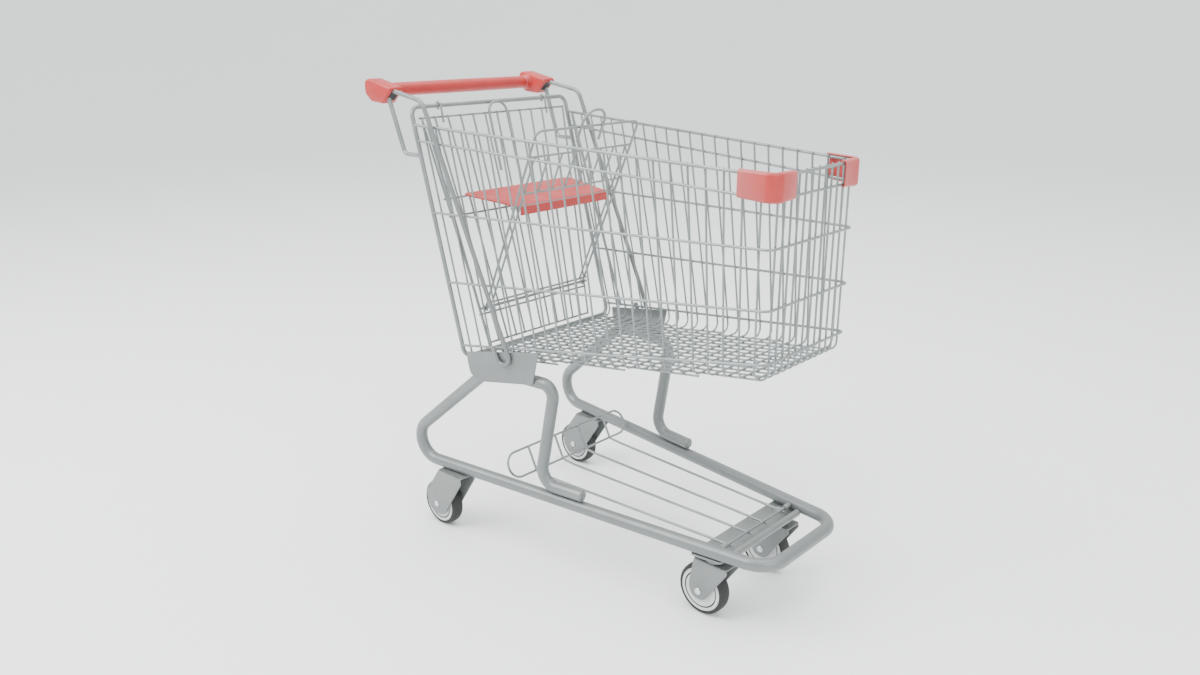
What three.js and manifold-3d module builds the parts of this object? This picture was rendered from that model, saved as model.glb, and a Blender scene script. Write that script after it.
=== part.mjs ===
// Shopping cart with a folding child seat, a lift-up rear gate, a hinged lower tray and four casters.
// Millimetres, +X is the way the cart is pushed, +Y its left, +Z up, floor at z = 0.
// Places along the cart are first measured from the rear axle; the last lines move the whole cart so that
// its origin is at the middle of its footprint.

import * as THREE from 'three';
import { mergeVertices } from 'three/addons/utils/BufferGeometryUtils.js';
import Module from 'manifold-3d';

const wasm = await Module();
wasm.setup();

// ---------- driving dimensions ----------

const GAP = 0.3;                 // clearance between pieces that touch
const FACET_ROOM = 1;            // more clearance where two faceted tubes lie along each other
const WELD = 1.3;                // how deep crossing wires of one welded grid sink into each other

// casters
const WHEEL_RADIUS = 52;
const TYRE_WIDTH = 28;
const HUB_RADIUS = 44;
const BORE_RADIUS = 9;
const AXLE_RADIUS = 4;
const AXLE_HEAD_RADIUS = 7;
const AXLE_HEAD_DEPTH = 3;
const FORK_SHEET = 3;
const FORK_CLEARANCE = 4;        // between the tyre's side and the fork's cheek
const FORK_TOP_CLEARANCE = 14;   // between the tyre's tread and the front fork's crown
const REAR_AXLE_X = -7;
const REAR_TRACK_HALF = 221;
const REAR_FORK_LEAD = 49;       // from the rear axle forward to the middle of the fork's crown
const FORK_CROWN_LENGTH = 76;
const REAR_FOOT = { rear: 36, front: 37, low: 25, shoulder: 15 };    // cheek edges about the axle
const FRONT_FOOT = { rear: 22.5, front: 23, low: 18, shoulder: 11 };
const FRONT_TRAIL = 25;          // from the front axle forward to the swivel axis
const KINGPIN_RADIUS = 6;
const HEAD_RADIUS = 21;
const WHEELBASE = 643.5;
const FRONT_TRACK_HALF = 106;

// chassis tubes
const RAIL_RADIUS = 13;
const RAIL_HEIGHT = 155;
const RAIL_HALF_AT_AXLE = 225.5;
const RAIL_TAPER = 0.1354;       // how much each rail runs in, per millimetre of length
const FRONT_BAR_X = 791;
const FRONT_BEND_RADIUS = 52;
const LEG_TOP_X = 128;
const LEG_TOP_Z = 385;
const LEG_BACK_X = -140;         // where leg and rail would meet if the bend were sharp
const LEG_BEND_RADIUS = 47;
const STRUT_RADIUS = 12.5;
const STRUT_START_X = 236;
const STRUT_TOP_X = 320;
const STRUT_TOP_Z = 400;
const STRUT_KNEE_X = 277;
const STRUT_BEND_RADIUS = 34;
const FOOT_END_X = 381;
const PLATE_SHEET = 2.5;
const PLATE_REAR_X = 103;
const PLATE_FRONT_X = 292;
const PLATE_TOP_REAR_Z = 437;
const PLATE_TOP_FRONT_Z = 471;
const PLATE_LOW_REAR_Z = 379;
const PLATE_LOW_FRONT_Z = 400;

// rear frame and uprights
const FRAME_ROD_RADIUS = 4.5;
const FRAME_BOTTOM_X = 91;
const FRAME_BOTTOM_Z = 421;
const FRAME_TOP_X = -47;
const FRAME_TOP_Z = 924;
const FRAME_BEND_RADIUS = 18;
const UPRIGHT_RADIUS = 4.6;
const UPRIGHT_BEND_X = -4;
const UPRIGHT_BEND_Z = 938;
const UPRIGHT_BEND_RADIUS = 30;
const UPRIGHT_PLATE_X = 200;
const UPRIGHT_PLATE_Z = 501;     // just over the side plate, where the upright starts to lie along it
const UPRIGHT_HOOK = [           // the hook's corners as x and z, down the front leg and up the rear one
  [228.5, 435],
  [197, 428.5],
  [181, 463],
];
const UPRIGHT_HOOK_RADIUS = 15;
const STAY_RADIUS = 4.8;
const STAY_FOOT_Z = 829;

// basket
const BASKET_REAR_HALF = 221.5;
const BASKET_FRONT_HALF = 131.5;
const BASKET_FRONT_X = 768;
const CORNER_RADIUS = 16;
const RIM_RADIUS = 3;
const HOOP_RADIUS = 2.5;
const MESH_RADIUS = 2;
const HOOPS = [                  // rear and front heights of the hoops, the rim first
  { rearZ: 889.5, frontZ: 856, radius: RIM_RADIUS },
  { rearZ: 858.5, frontZ: 819.5, radius: HOOP_RADIUS },
  { rearZ: 716, frontZ: 737.5, radius: HOOP_RADIUS },
  { rearZ: 575.5, frontZ: 634.5, radius: HOOP_RADIUS },
  { rearZ: 446, frontZ: 541, radius: HOOP_RADIUS },
];
const SIDE_WIRES = 12;
const FRONT_WIRES = 7;
const FRONT_WIRE_PITCH = 35;
const FLOOR_DROP_REAR = 26;      // floor below the lowest hoop, at the back and at the front
const FLOOR_DROP_FRONT = 29;
const FLOOR_BEND_RADIUS = 18;
const FLOOR_CROSS_WIRES = 9;
const FLOOR_LONG_PITCH = 41.6;
const SEAT_ROD_RADIUS = 3;

// rear gate
const GATE_FORWARD = 5.5;        // the gate's mesh plane ahead of the rear frame's plane
const GATE_TOP_HALF = 204;
const GATE_BOTTOM_HALF = 152;
const GATE_TOP_DROP = 24;        // the gate's top wire below its hinge rod
const GATE_BOTTOM_RISE = 14;     // the gate's bottom wire above the rear frame's bottom rod
const GATE_WIRES = 13;
const GATE_WIRE_RADIUS = 2.2;
const GATE_SHELF_Z = 738;        // the wire that the seat's back edge rests over
const GATE_MIDDLE_Z = 702;
const HOOK_RADIUS = 7.6;         // the gate's eyes around the hinge rod
const LOOP_WIDTH = 51;
const LOOP_RADIUS = 2.8;
const GATE_LOOP_DROP = 2.6;      // the loop's top below the hinge rod
const GATE_EYE_HALF = 150;       // from the middle out to each hinge eye
const GATE_LOOP_LENGTH = 150;

// child seat
const SEAT_HINGE_Z = 511;
const SEAT_HINGE_FORWARD = 6.4;   // the seat back's hinge ahead of the gate's mesh plane
const SEAT_LEAN = 23.7;          // degrees from upright, forwards
const SEAT_BACK_HEIGHT = 415;    // along the lean, hinge to top wire
const SEAT_BACK_HALF = 149;
const SEAT_BACK_INNER_HALF = 134;
const SEAT_SECOND_DOWN = 56;
const SEAT_WINDOW_TOP = 279;     // along the lean, from the hinge
const SEAT_PIVOT_UP = 242;       // along the lean, from the hinge to the seat's own pivot
const SEAT_BACK_WIRES = 6;
const SEAT_LOOP_RISE = 38;
const SEAT_DEPTH = 146;
const SEAT_TILT = 5;             // degrees, its back edge higher than its front
const SEAT_SHEET = 4;
const SEAT_REAR_HALF = 158;
const SEAT_FRONT_HALF = 130;
const SEAT_LIP = 16;

// handle
const HANDLE_X = -156;
const HANDLE_Z = 953;
const GRIP_RADIUS = 14.5;
const GRIP_HALF = 203;
const CORE_RADIUS = 11;
const CORE_WALL = 2;
const CAP_WIDTH = 34;
const CAP_WALL = 3;
const BUMPER_HEIGHT = 51;
const BUMPER_SIDE_LENGTH = 66;
const BUMPER_FRONT_LENGTH = 56;
const BUMPER_WALL = 3;
const BUMPER_STAND_OFF = 5.5;    // from the hoops' middle line out to the bumper's inner face

// lower tray and its hinge
const TRAY_WIRE_RADIUS = 2.5;
const TRAY_PIVOT_X = 686;
const TRAY_PIVOT_Z = 157;
const TRAY_PIVOT_RADIUS = 2.6;
const TRAY_SLEEVE_RADIUS = 5;
const TRAY_SLEEVE_LENGTH = 18;
const TRAY_REAR_BEND_X = 226;
const TRAY_LOOP_TOP_X = 164;
const TRAY_LOOP_TOP_Z = 203.5;
const TRAY_LOOP_LOW_X = 189;
const TRAY_LOOP_LOW_Z = 154.5;
const TRAY_LOOP_HALF = 157;
const TRAY_OUTER_REAR = 119;
const TRAY_OUTER_FRONT = 90;
const TRAY_INNER_REAR = 37;
const TRAY_INNER_FRONT = 27;
const CROSS_PLATE_REAR_X = 636;
const CROSS_PLATE_FRONT_X = 700;
const CROSS_PLATE_SHEET = 4;
const LIP_BAR_RADIUS = 7;

// ---------- finishes ----------

const finish = (color, roughness, metalness) => new THREE.MeshStandardMaterial(
  { color, roughness, metalness },
);
const LACQUER = finish(0xaeb3b3, 0.42, 0.35);
const WIRE = finish(0xb4b9b9, 0.38, 0.45);
const RED = finish(0xd86f6a, 0.45, 0);
const RUBBER = finish(0x4a4d4c, 0.75, 0);
const NYLON = finish(0xdadcdd, 0.5, 0);
const ZINC = finish(0xd8dcdc, 0.3, 0.8);
const BRASS = finish(0x9a9c98, 0.35, 0.8);

// ---------- geometry helpers ----------

const v3 = (x, y, z) => new THREE.Vector3(x, y, z);
const radians = (degrees) => THREE.MathUtils.degToRad(degrees);
const lerp = THREE.MathUtils.lerp;

/** A curve through fixed knots, so that an extrusion has a section at each knot and nowhere else. */
class KnotPath extends THREE.Curve {
  constructor(knots) {
    super();
    this.knots = knots;
  }

  getPoint(t, target = new THREE.Vector3()) {
    const place = t * (this.knots.length - 1);
    const index = Math.min(Math.floor(place + 1e-9), this.knots.length - 2);
    return target.lerpVectors(this.knots[index], this.knots[index + 1], place - index);
  }

  getPointAt(u, target) {
    return this.getPoint(u, target);
  }

  getTangentAt(u, target = new THREE.Vector3()) {
    const last = this.knots.length - 1;
    const index = Math.round(u * last);
    const before = this.knots[Math.max(index - 1, 0)];
    const here = this.knots[index];
    const after = this.knots[Math.min(index + 1, last)];
    const into = here.clone().sub(before).normalize();
    const out = after.clone().sub(here).normalize();
    return target.copy(into).add(out).normalize();
  }
}

/** Corner points with each corner rounded to a radius by short chords. */
function roundCorners(points, radius, chords = 4) {
  const knots = [points[0]];
  for (let i = 1; i < points.length - 1; i += 1) {
    const corner = points[i];
    const back = points[i - 1].clone().sub(corner).normalize();
    const ahead = points[i + 1].clone().sub(corner).normalize();
    const half = back.angleTo(ahead) / 2;
    const reach = radius / Math.tan(half);
    const middle = back.clone().add(ahead).normalize();
    const centre = corner.clone().addScaledVector(middle, radius / Math.sin(half));
    const from = corner.clone().addScaledVector(back, reach).sub(centre);
    const turn = Math.PI - 2 * half;
    const axis = back.clone().cross(ahead).negate().normalize();
    for (let k = 0; k <= chords; k += 1) {
      knots.push(centre.clone().add(from.clone().applyAxisAngle(axis, turn * k / chords)));
    }
  }
  knots.push(points[points.length - 1]);
  return knots;
}

/** A regular polygon of the same area as a round section, to carry along a path. */
function polygon(radius, sides) {
  const step = 2 * Math.PI / sides;
  const reach = radius * Math.sqrt(step / Math.sin(step));
  const corners = [];
  for (let i = 0; i < sides; i += 1) {
    const angle = step * (i + 0.5);
    corners.push(new THREE.Vector2(reach * Math.cos(angle), reach * Math.sin(angle)));
  }
  return new THREE.Shape(corners);
}

/** A bar through the given corner points, its bends rounded. */
function bar(points, radius, { bend = 0, chords = 4, sides = 4 } = {}) {
  const knots = bend > 0 ? roundCorners(points, bend, chords) : points;
  return new THREE.ExtrudeGeometry(polygon(radius, sides), {
    steps: knots.length - 1,
    extrudePath: new KnotPath(knots),
  });
}

/** The same closed surface with shared corners and no collapsed triangles. */
function weld(geometry) {
  const bare = geometry.clone();
  bare.deleteAttribute('normal');
  bare.deleteAttribute('uv');
  const merged = mergeVertices(bare, 1e-4);
  const source = merged.index.array;
  const kept = [];
  for (let i = 0; i < source.length; i += 3) {
    const [a, b, c] = [source[i], source[i + 1], source[i + 2]];
    if (a !== b && b !== c && c !== a) kept.push(a, b, c);
  }
  merged.setIndex(kept);
  return faceOutwards(merged);
}

/** Turns a closed surface the right way out where its triangles run the wrong way round. */
function faceOutwards(geometry) {
  const place = geometry.attributes.position;
  const order = geometry.index.array;
  const corner = (i) => new THREE.Vector3().fromBufferAttribute(place, order[i]);
  let volume = 0;
  for (let i = 0; i < order.length; i += 3) {
    volume += corner(i).dot(corner(i + 1).cross(corner(i + 2)));
  }
  if (volume < 0) {
    for (let i = 0; i < order.length; i += 3) {
      [order[i + 1], order[i + 2]] = [order[i + 2], order[i + 1]];
    }
  }
  return geometry;
}

function toSolid(geometry) {
  const closed = weld(geometry);
  return new wasm.Manifold(new wasm.Mesh({
    numProp: 3,
    vertProperties: new Float32Array(closed.attributes.position.array),
    triVerts: new Uint32Array(closed.index.array),
  }));
}

function fromSolid(solid) {
  const mesh = solid.getMesh();
  const geometry = new THREE.BufferGeometry();
  geometry.setAttribute('position', new THREE.BufferAttribute(new Float32Array(mesh.vertProperties), 3));
  geometry.setIndex(new THREE.BufferAttribute(new Uint32Array(mesh.triVerts), 1));
  geometry.computeVertexNormals();
  return geometry;
}

const join = (...shapes) => fromSolid(shapes.map(toSolid).reduce((sum, next) => sum.add(next)));
const cut = (shape, ...tools) => fromSolid(tools.map(toSolid).reduce((rest, tool) => rest.subtract(tool),
  toSolid(shape)));

/** A plate with its outline in x and z, reaching from one y to another. */
function sidePlate(outline, fromY, toY) {
  const plate = new THREE.ExtrudeGeometry(outline,
    { depth: toY - fromY, bevelEnabled: false, curveSegments: 8 });
  return plate.rotateX(Math.PI / 2).translate(0, toY, 0);
}

/** A plate with its outline in x and y, reaching from one height to another. */
function flatPlate(outline, fromZ, toZ) {
  return new THREE.ExtrudeGeometry(outline, { depth: toZ - fromZ, bevelEnabled: false, curveSegments: 6 })
    .translate(0, 0, fromZ);
}

/** A round body turned about the vertical, from [radius, height] pairs. */
function turnedUpright(profile, segments) {
  return new THREE.LatheGeometry(profile.map(([r, h]) => new THREE.Vector2(r, h)), segments)
    .rotateX(Math.PI / 2);
}

/** A round body turned about the cart's width, from [radius, place along y] pairs. */
function turnedAcross(profile, segments) {
  return new THREE.LatheGeometry(profile.map(([r, y]) => new THREE.Vector2(r, y)), segments);
}

const closedRing = (profile) => [...profile, profile[0]];

const cart = new THREE.Group();
cart.name = 'shopping_cart';

function piece(group, name, geometry, material) {
  const mesh = new THREE.Mesh(weld(geometry), material);
  mesh.geometry.computeVertexNormals();
  mesh.name = name;
  group.add(mesh);
  return mesh;
}

function subgroup(parent) {
  const group = new THREE.Group();
  parent.add(group);
  return group;
}

const SIDES = [{ word: 'left', sign: 1 }, { word: 'right', sign: -1 }];

// ---------- places worked out from the driving dimensions ----------

const railHalf = (x) => RAIL_HALF_AT_AXLE - RAIL_TAPER * x;
const frameLean = (FRAME_BOTTOM_X - FRAME_TOP_X) / (FRAME_TOP_Z - FRAME_BOTTOM_Z);
const frameX = (z) => FRAME_BOTTOM_X - frameLean * (z - FRAME_BOTTOM_Z);
const plateInner = (x) => railHalf(x) + RAIL_RADIUS + GAP;
const plateOuter = (x) => plateInner(x) + PLATE_SHEET;

/** A hoop's middle line on one side, from the rear frame (0) to the front corner (1). */
function hoopPoint(hoop, share, sign, inset = 0) {
  return v3(
    lerp(frameX(hoop.rearZ), BASKET_FRONT_X, share),
    sign * (lerp(BASKET_REAR_HALF, BASKET_FRONT_HALF, share) - inset),
    lerp(hoop.rearZ, hoop.frontZ, share),
  );
}

const rim = HOOPS[0];
const lowest = HOOPS[HOOPS.length - 1];
const floorLine = {
  rearZ: lowest.rearZ - FLOOR_DROP_REAR,
  frontZ: lowest.frontZ - FLOOR_DROP_FRONT,
  radius: MESH_RADIUS,
};
const floorRearX = frameX(floorLine.rearZ);
const floorZ = (x) => lerp(floorLine.rearZ, floorLine.frontZ,
  (x - floorRearX) / (BASKET_FRONT_X - floorRearX));
const wallShareAt = (x) => (x - frameX(lowest.rearZ)) / (BASKET_FRONT_X - frameX(lowest.rearZ));
const floorWallHalf = (x) => lerp(BASKET_REAR_HALF, BASKET_FRONT_HALF, wallShareAt(x));
const meshInset = HOOP_RADIUS + MESH_RADIUS - WELD;

// ---------- chassis ----------

const chassis = subgroup(cart);

const railPoint = (x, z, sign) => v3(x, sign * railHalf(x), z);

function baseRail() {
  const half = (sign) => [
    railPoint(LEG_TOP_X, LEG_TOP_Z, sign),
    railPoint(LEG_BACK_X, RAIL_HEIGHT, sign),
    railPoint(FRONT_BAR_X, RAIL_HEIGHT, sign),
  ];
  const corners = [...half(1), ...half(-1).reverse()];
  const rear = LEG_BEND_RADIUS;
  const knots = [
    ...roundCorners(corners.slice(0, 3), rear, 5).slice(0, -1),
    ...roundCorners([railPoint(LEG_BACK_X + 200, RAIL_HEIGHT, 1), corners[2], corners[3],
      railPoint(LEG_BACK_X + 200, RAIL_HEIGHT, -1)], FRONT_BEND_RADIUS, 5).slice(1, -1),
    ...roundCorners(corners.slice(3), rear, 5).slice(1),
  ];
  return bar(knots, RAIL_RADIUS, { sides: 10 });
}
piece(chassis, 'base_rail', baseRail(), LACQUER);

const footZ = RAIL_HEIGHT + RAIL_RADIUS + STRUT_RADIUS + FACET_ROOM;

for (const { word, sign } of SIDES) {
  const strut = bar([
    railPoint(STRUT_START_X, STRUT_TOP_Z + 5, sign),
    railPoint(STRUT_TOP_X, STRUT_TOP_Z, sign),
    railPoint(STRUT_KNEE_X, footZ, sign),
    railPoint(FOOT_END_X, footZ, sign),
  ], STRUT_RADIUS, { bend: STRUT_BEND_RADIUS, chords: 4, sides: 10 });
  piece(chassis, `front_strut_${word}`, strut, LACQUER);

  // The side plate is cut to its outline flat, then turned to run along the rails.
  const length = (x) => (x - PLATE_REAR_X) * Math.hypot(1, RAIL_TAPER);
  const outline = new THREE.Shape();
  outline.moveTo(length(PLATE_REAR_X), PLATE_TOP_REAR_Z);
  outline.lineTo(length(PLATE_REAR_X) + 4, PLATE_TOP_REAR_Z - 26);
  outline.quadraticCurveTo(length(PLATE_REAR_X) + 8, PLATE_LOW_REAR_Z + 11,
    length(PLATE_REAR_X) + 39, PLATE_LOW_REAR_Z);
  outline.lineTo(length(PLATE_FRONT_X) - 16, PLATE_LOW_FRONT_Z);
  outline.lineTo(length(PLATE_FRONT_X), PLATE_TOP_FRONT_Z);
  const inner = v3(PLATE_REAR_X, plateInner(PLATE_REAR_X), 0);
  const plate = sidePlate(outline, 0, PLATE_SHEET)
    .rotateZ(-Math.atan(RAIL_TAPER))
    .translate(inner.x, inner.y, 0);
  plate.scale(1, sign, 1);
  piece(chassis, `side_plate_${word}`, plate, LACQUER);
}

const plateTopZ = RAIL_HEIGHT - RAIL_RADIUS - FACET_ROOM;
function crossPlate() {
  const outline = new THREE.Shape();
  const margin = 8;
  outline.moveTo(CROSS_PLATE_REAR_X, -railHalf(CROSS_PLATE_REAR_X) - margin);
  outline.lineTo(CROSS_PLATE_FRONT_X, -railHalf(CROSS_PLATE_FRONT_X) - margin);
  outline.lineTo(CROSS_PLATE_FRONT_X, railHalf(CROSS_PLATE_FRONT_X) + margin);
  outline.lineTo(CROSS_PLATE_REAR_X, railHalf(CROSS_PLATE_REAR_X) + margin);
  for (const { sign } of SIDES) {
    const hole = new THREE.Path();
    hole.absarc(WHEELBASE + FRONT_TRAIL, sign * FRONT_TRACK_HALF, KINGPIN_RADIUS + GAP, 0, 2 * Math.PI, true);
    outline.holes.push(hole);
  }
  return flatPlate(outline, plateTopZ - CROSS_PLATE_SHEET, plateTopZ);
}
piece(chassis, 'caster_cross_plate', crossPlate(), LACQUER);

const lipBarX = CROSS_PLATE_FRONT_X + LIP_BAR_RADIUS + GAP;
const lipBarHalf = railHalf(lipBarX) - RAIL_RADIUS - 3;
piece(chassis, 'cross_plate_lip', bar([
  v3(lipBarX, -lipBarHalf, plateTopZ + LIP_BAR_RADIUS),
  v3(lipBarX, lipBarHalf, plateTopZ + LIP_BAR_RADIUS),
], LIP_BAR_RADIUS, { sides: 10 }), LACQUER);

// ---------- rear frame, uprights and stays ----------

function rearFrame() {
  const low = (sign) => v3(FRAME_BOTTOM_X, sign * BASKET_REAR_HALF, FRAME_BOTTOM_Z);
  const high = (sign) => v3(FRAME_TOP_X, sign * BASKET_REAR_HALF, FRAME_TOP_Z);
  const seam = v3(FRAME_BOTTOM_X, 0, FRAME_BOTTOM_Z);
  const overlap = 1;
  const half = (sign) => bar([
    v3(FRAME_BOTTOM_X, -sign * overlap, FRAME_BOTTOM_Z),
    low(sign),
    high(sign),
    v3(FRAME_TOP_X, -sign * overlap, FRAME_TOP_Z),
  ], FRAME_ROD_RADIUS, { bend: FRAME_BEND_RADIUS, chords: 4, sides: 8 });
  return join(half(1), half(-1), bar([
    seam.clone().setY(-4 * overlap),
    seam.clone().setY(4 * overlap),
  ], FRAME_ROD_RADIUS, { sides: 8 }));
}
piece(chassis, 'rear_frame', rearFrame(), WIRE);

const cap = {
  rearX: HANDLE_X - 26, frontTopX: HANDLE_X + 68, frontLowX: HANDLE_X + 34,
  topRearZ: HANDLE_Z + 24, topFrontZ: HANDLE_Z + 7, lowZ: HANDLE_Z - 25,
};
const capInnerY = GRIP_HALF + GAP;
const capOuterY = capInnerY + CAP_WIDTH;
const capMiddleY = (capInnerY + capOuterY) / 2;
const uprightTopY = lerp(BASKET_REAR_HALF, BASKET_FRONT_HALF, 0.05) + RIM_RADIUS + UPRIGHT_RADIUS + GAP;
const uprightStart = v3(cap.frontTopX - 22, capMiddleY + 3, HANDLE_Z + 3);
const stayStart = v3(cap.frontLowX + 8, capMiddleY + 3, HANDLE_Z - 10);

for (const { word, sign } of SIDES) {
  const flip = (point) => v3(point.x, sign * point.y, point.z);
  const beside = (x, z) => v3(x, plateOuter(x) + FACET_ROOM + UPRIGHT_RADIUS, z);
  const overPlate = beside(UPRIGHT_PLATE_X, UPRIGHT_PLATE_Z);
  const upperBend = roundCorners([uprightStart, v3(UPRIGHT_BEND_X, uprightTopY, UPRIGHT_BEND_Z), overPlate],
    UPRIGHT_BEND_RADIUS, 4);
  const hookCorners = UPRIGHT_HOOK.map(([x, z]) => beside(x, z));
  const hook = roundCorners([overPlate, ...hookCorners], UPRIGHT_HOOK_RADIUS, 4);
  const knots = [...upperBend, ...hook.slice(1)].map(flip);
  piece(chassis, `upright_${word}`, bar(knots, UPRIGHT_RADIUS, { sides: 10 }), LACQUER);

  const stayY = BASKET_REAR_HALF + 2;
  const footX = frameX(STAY_FOOT_Z) - FRAME_ROD_RADIUS - 2 * FACET_ROOM;
  const stay = bar([
    stayStart,
    v3(frameX(STAY_FOOT_Z) - 55, stayY, STAY_FOOT_Z),
    v3(footX, stayY, STAY_FOOT_Z),
  ].map(flip), STAY_RADIUS, { bend: 14, chords: 4, sides: 8 });
  piece(chassis, `handle_stay_${word}`, stay, WIRE);
}

// ---------- handle ----------

const handle = subgroup(cart);
handle.position.set(HANDLE_X, 0, HANDLE_Z);

piece(handle, 'handle_grip', turnedAcross(closedRing([
  [CORE_RADIUS + GAP, -GRIP_HALF], [GRIP_RADIUS - 1.5, -GRIP_HALF], [GRIP_RADIUS, -GRIP_HALF + 1.5],
  [GRIP_RADIUS, GRIP_HALF - 1.5], [GRIP_RADIUS - 1.5, GRIP_HALF], [CORE_RADIUS + GAP, GRIP_HALF],
]), 20), RED);

const coreHalf = capOuterY - CAP_WALL - GAP;
piece(handle, 'handle_core_tube', turnedAcross(closedRing([
  [CORE_RADIUS - CORE_WALL, -coreHalf], [CORE_RADIUS, -coreHalf], [CORE_RADIUS, coreHalf],
  [CORE_RADIUS - CORE_WALL, coreHalf],
]), 16), ZINC);

/** The cap's side outline about the handle's middle, drawn in by a wall's thickness. */
function capOutline(inset, openFront) {
  const forward = openFront ? 30 : 0;
  const rear = cap.rearX - HANDLE_X + inset;
  const top = cap.topRearZ - HANDLE_Z - inset;
  const low = cap.lowZ - HANDLE_Z + inset;
  const outline = new THREE.Shape();
  outline.moveTo(rear + 14, top);
  outline.lineTo(cap.frontTopX - HANDLE_X + forward, cap.topFrontZ - HANDLE_Z - inset - forward * 0.18);
  outline.lineTo(cap.frontLowX - HANDLE_X + forward, low);
  outline.lineTo(rear + 16, low + 2);
  outline.quadraticCurveTo(rear + 2, low + 8, rear, low + 18);
  outline.lineTo(rear, top - 12);
  outline.quadraticCurveTo(rear + 2, top - 1, rear + 14, top);
  return outline;
}

for (const { word, sign } of SIDES) {
  const shell = sidePlate(capOutline(0, false), capInnerY, capOuterY);
  const pocket = sidePlate(capOutline(CAP_WALL, true), capInnerY + CAP_WALL, capOuterY - CAP_WALL);
  const socket = turnedAcross([[0, capInnerY - 1], [CORE_RADIUS + GAP, capInnerY - 1],
    [CORE_RADIUS + GAP, capInnerY + CAP_WALL + 1], [0, capInnerY + CAP_WALL + 1]], 20);
  const body = cut(shell, pocket, socket);
  body.scale(1, sign, 1);
  piece(handle, `handle_cap_${word}`, body, RED);
}

// ---------- basket ----------

const basket = subgroup(cart);
const wireShare = (i) => lerp(0.028, 0.966, i / (SIDE_WIRES - 1));

/** A straight wire from one side's rim down to the floor, with its foot bent in under the load. */
function sideWire(share, sign) {
  const top = hoopPoint(rim, share, sign, meshInset);
  const foot = hoopPoint(floorLine, share, sign, meshInset);
  top.z += RIM_RADIUS;
  const inner = foot.clone().setY(foot.y - sign * (FLOOR_BEND_RADIUS + 2));
  return bar([top, foot, inner], MESH_RADIUS, { bend: FLOOR_BEND_RADIUS, chords: 2 });
}

const turn = Math.PI / 2 - Math.atan((BASKET_REAR_HALF - BASKET_FRONT_HALF)
  / (BASKET_FRONT_X - frameX(rim.rearZ)));
const cornerReach = CORNER_RADIUS * Math.tan(turn / 2) + 1;

function sideHoop(hoop, sign) {
  const rear = hoopPoint(hoop, 0, sign);
  const corner = hoopPoint(hoop, 1, sign);
  const along = corner.clone().sub(rear).normalize();
  return bar([
    rear.clone().addScaledVector(along, FRAME_ROD_RADIUS + hoop.radius / 2 + GAP),
    corner.clone().addScaledVector(along, -cornerReach - GAP),
  ], hoop.radius);
}

for (const { word, sign } of SIDES) {
  const wires = Array.from({ length: SIDE_WIRES }, (_, i) => sideWire(wireShare(i), sign));
  piece(basket, `basket_side_${word}`, join(...HOOPS.map((hoop) => sideHoop(hoop, sign)), ...wires), WIRE);

  // The stiffener is a thicker wire beside the upright, from under the rim to over the lowest hoop.
  const stiffTop = hoopPoint(rim, 0.036, sign, HOOP_RADIUS + SEAT_ROD_RADIUS + GAP);
  const stiffLow = hoopPoint(lowest, 0.098, sign, HOOP_RADIUS + SEAT_ROD_RADIUS + GAP);
  stiffTop.z -= 2;
  stiffTop.y -= sign * (2 * MESH_RADIUS);
  stiffLow.y -= sign * (2 * MESH_RADIUS);
  piece(basket, `basket_stiffener_${word}`, bar([stiffTop, stiffLow], SEAT_ROD_RADIUS), WIRE);
}

function basketFront() {
  const hoops = HOOPS.map((hoop) => {
    const left = hoopPoint(hoop, 1, 1);
    const right = hoopPoint(hoop, 1, -1);
    const back = (sign, corner) => corner.clone()
      .addScaledVector(hoopPoint(hoop, 0, sign).sub(corner).normalize(), cornerReach);
    return bar([back(1, left), left, right, back(-1, right)], hoop.radius,
      { bend: CORNER_RADIUS, chords: 3 });
  });
  const wires = Array.from({ length: FRONT_WIRES }, (_, i) => {
    const y = (i - (FRONT_WIRES - 1) / 2) * FRONT_WIRE_PITCH;
    const x = BASKET_FRONT_X - meshInset;
    const low = floorLine.frontZ - 2 * MESH_RADIUS + WELD;
    const back = x - FLOOR_BEND_RADIUS - 2;
    return bar([v3(x, y, rim.frontZ + RIM_RADIUS), v3(x, y, low), v3(back, y, low - 0.3)], MESH_RADIUS,
      { bend: FLOOR_BEND_RADIUS, chords: 2 });
  });
  return join(...hoops, ...wires);
}
piece(basket, 'basket_front', basketFront(), WIRE);

function basketFloor() {
  const frontEnd = BASKET_FRONT_X - meshInset - FLOOR_BEND_RADIUS - 2 - 2 * GAP - 1;
  const rearEnd = floorRearX + FRAME_ROD_RADIUS + 4;
  const inset = meshInset + FLOOR_BEND_RADIUS + 2 + GAP;
  const cross = Array.from({ length: FLOOR_CROSS_WIRES }, (_, i) => {
    const share = wireShare(Math.round(lerp(0, SIDE_WIRES - 2, i / (FLOOR_CROSS_WIRES - 1))));
    const left = hoopPoint(floorLine, share, 1, inset);
    return bar([left, left.clone().setY(-left.y)], MESH_RADIUS);
  });
  const count = 2 * Math.floor((BASKET_FRONT_HALF - 20) / FLOOR_LONG_PITCH) + 1;
  const under = 2 * MESH_RADIUS - WELD;
  const along = Array.from({ length: count }, (_, i) => {
    const y = (i - (count - 1) / 2) * FLOOR_LONG_PITCH;
    const knot = (x) => v3(x, y, floorZ(x) - under);
    return bar([knot(rearEnd), knot(frontEnd)], MESH_RADIUS);
  });
  const edge = SIDES.map(({ sign }) => {
    const rear = hoopPoint(floorLine, 0.02, sign, inset + 12);
    const front = hoopPoint(floorLine, 0.95, sign, inset + 12);
    rear.z -= under;
    front.z -= under;
    return bar([rear, front], MESH_RADIUS);
  });
  return join(...cross, ...along, ...edge);
}
piece(basket, 'basket_floor', basketFloor(), WIRE);

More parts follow.
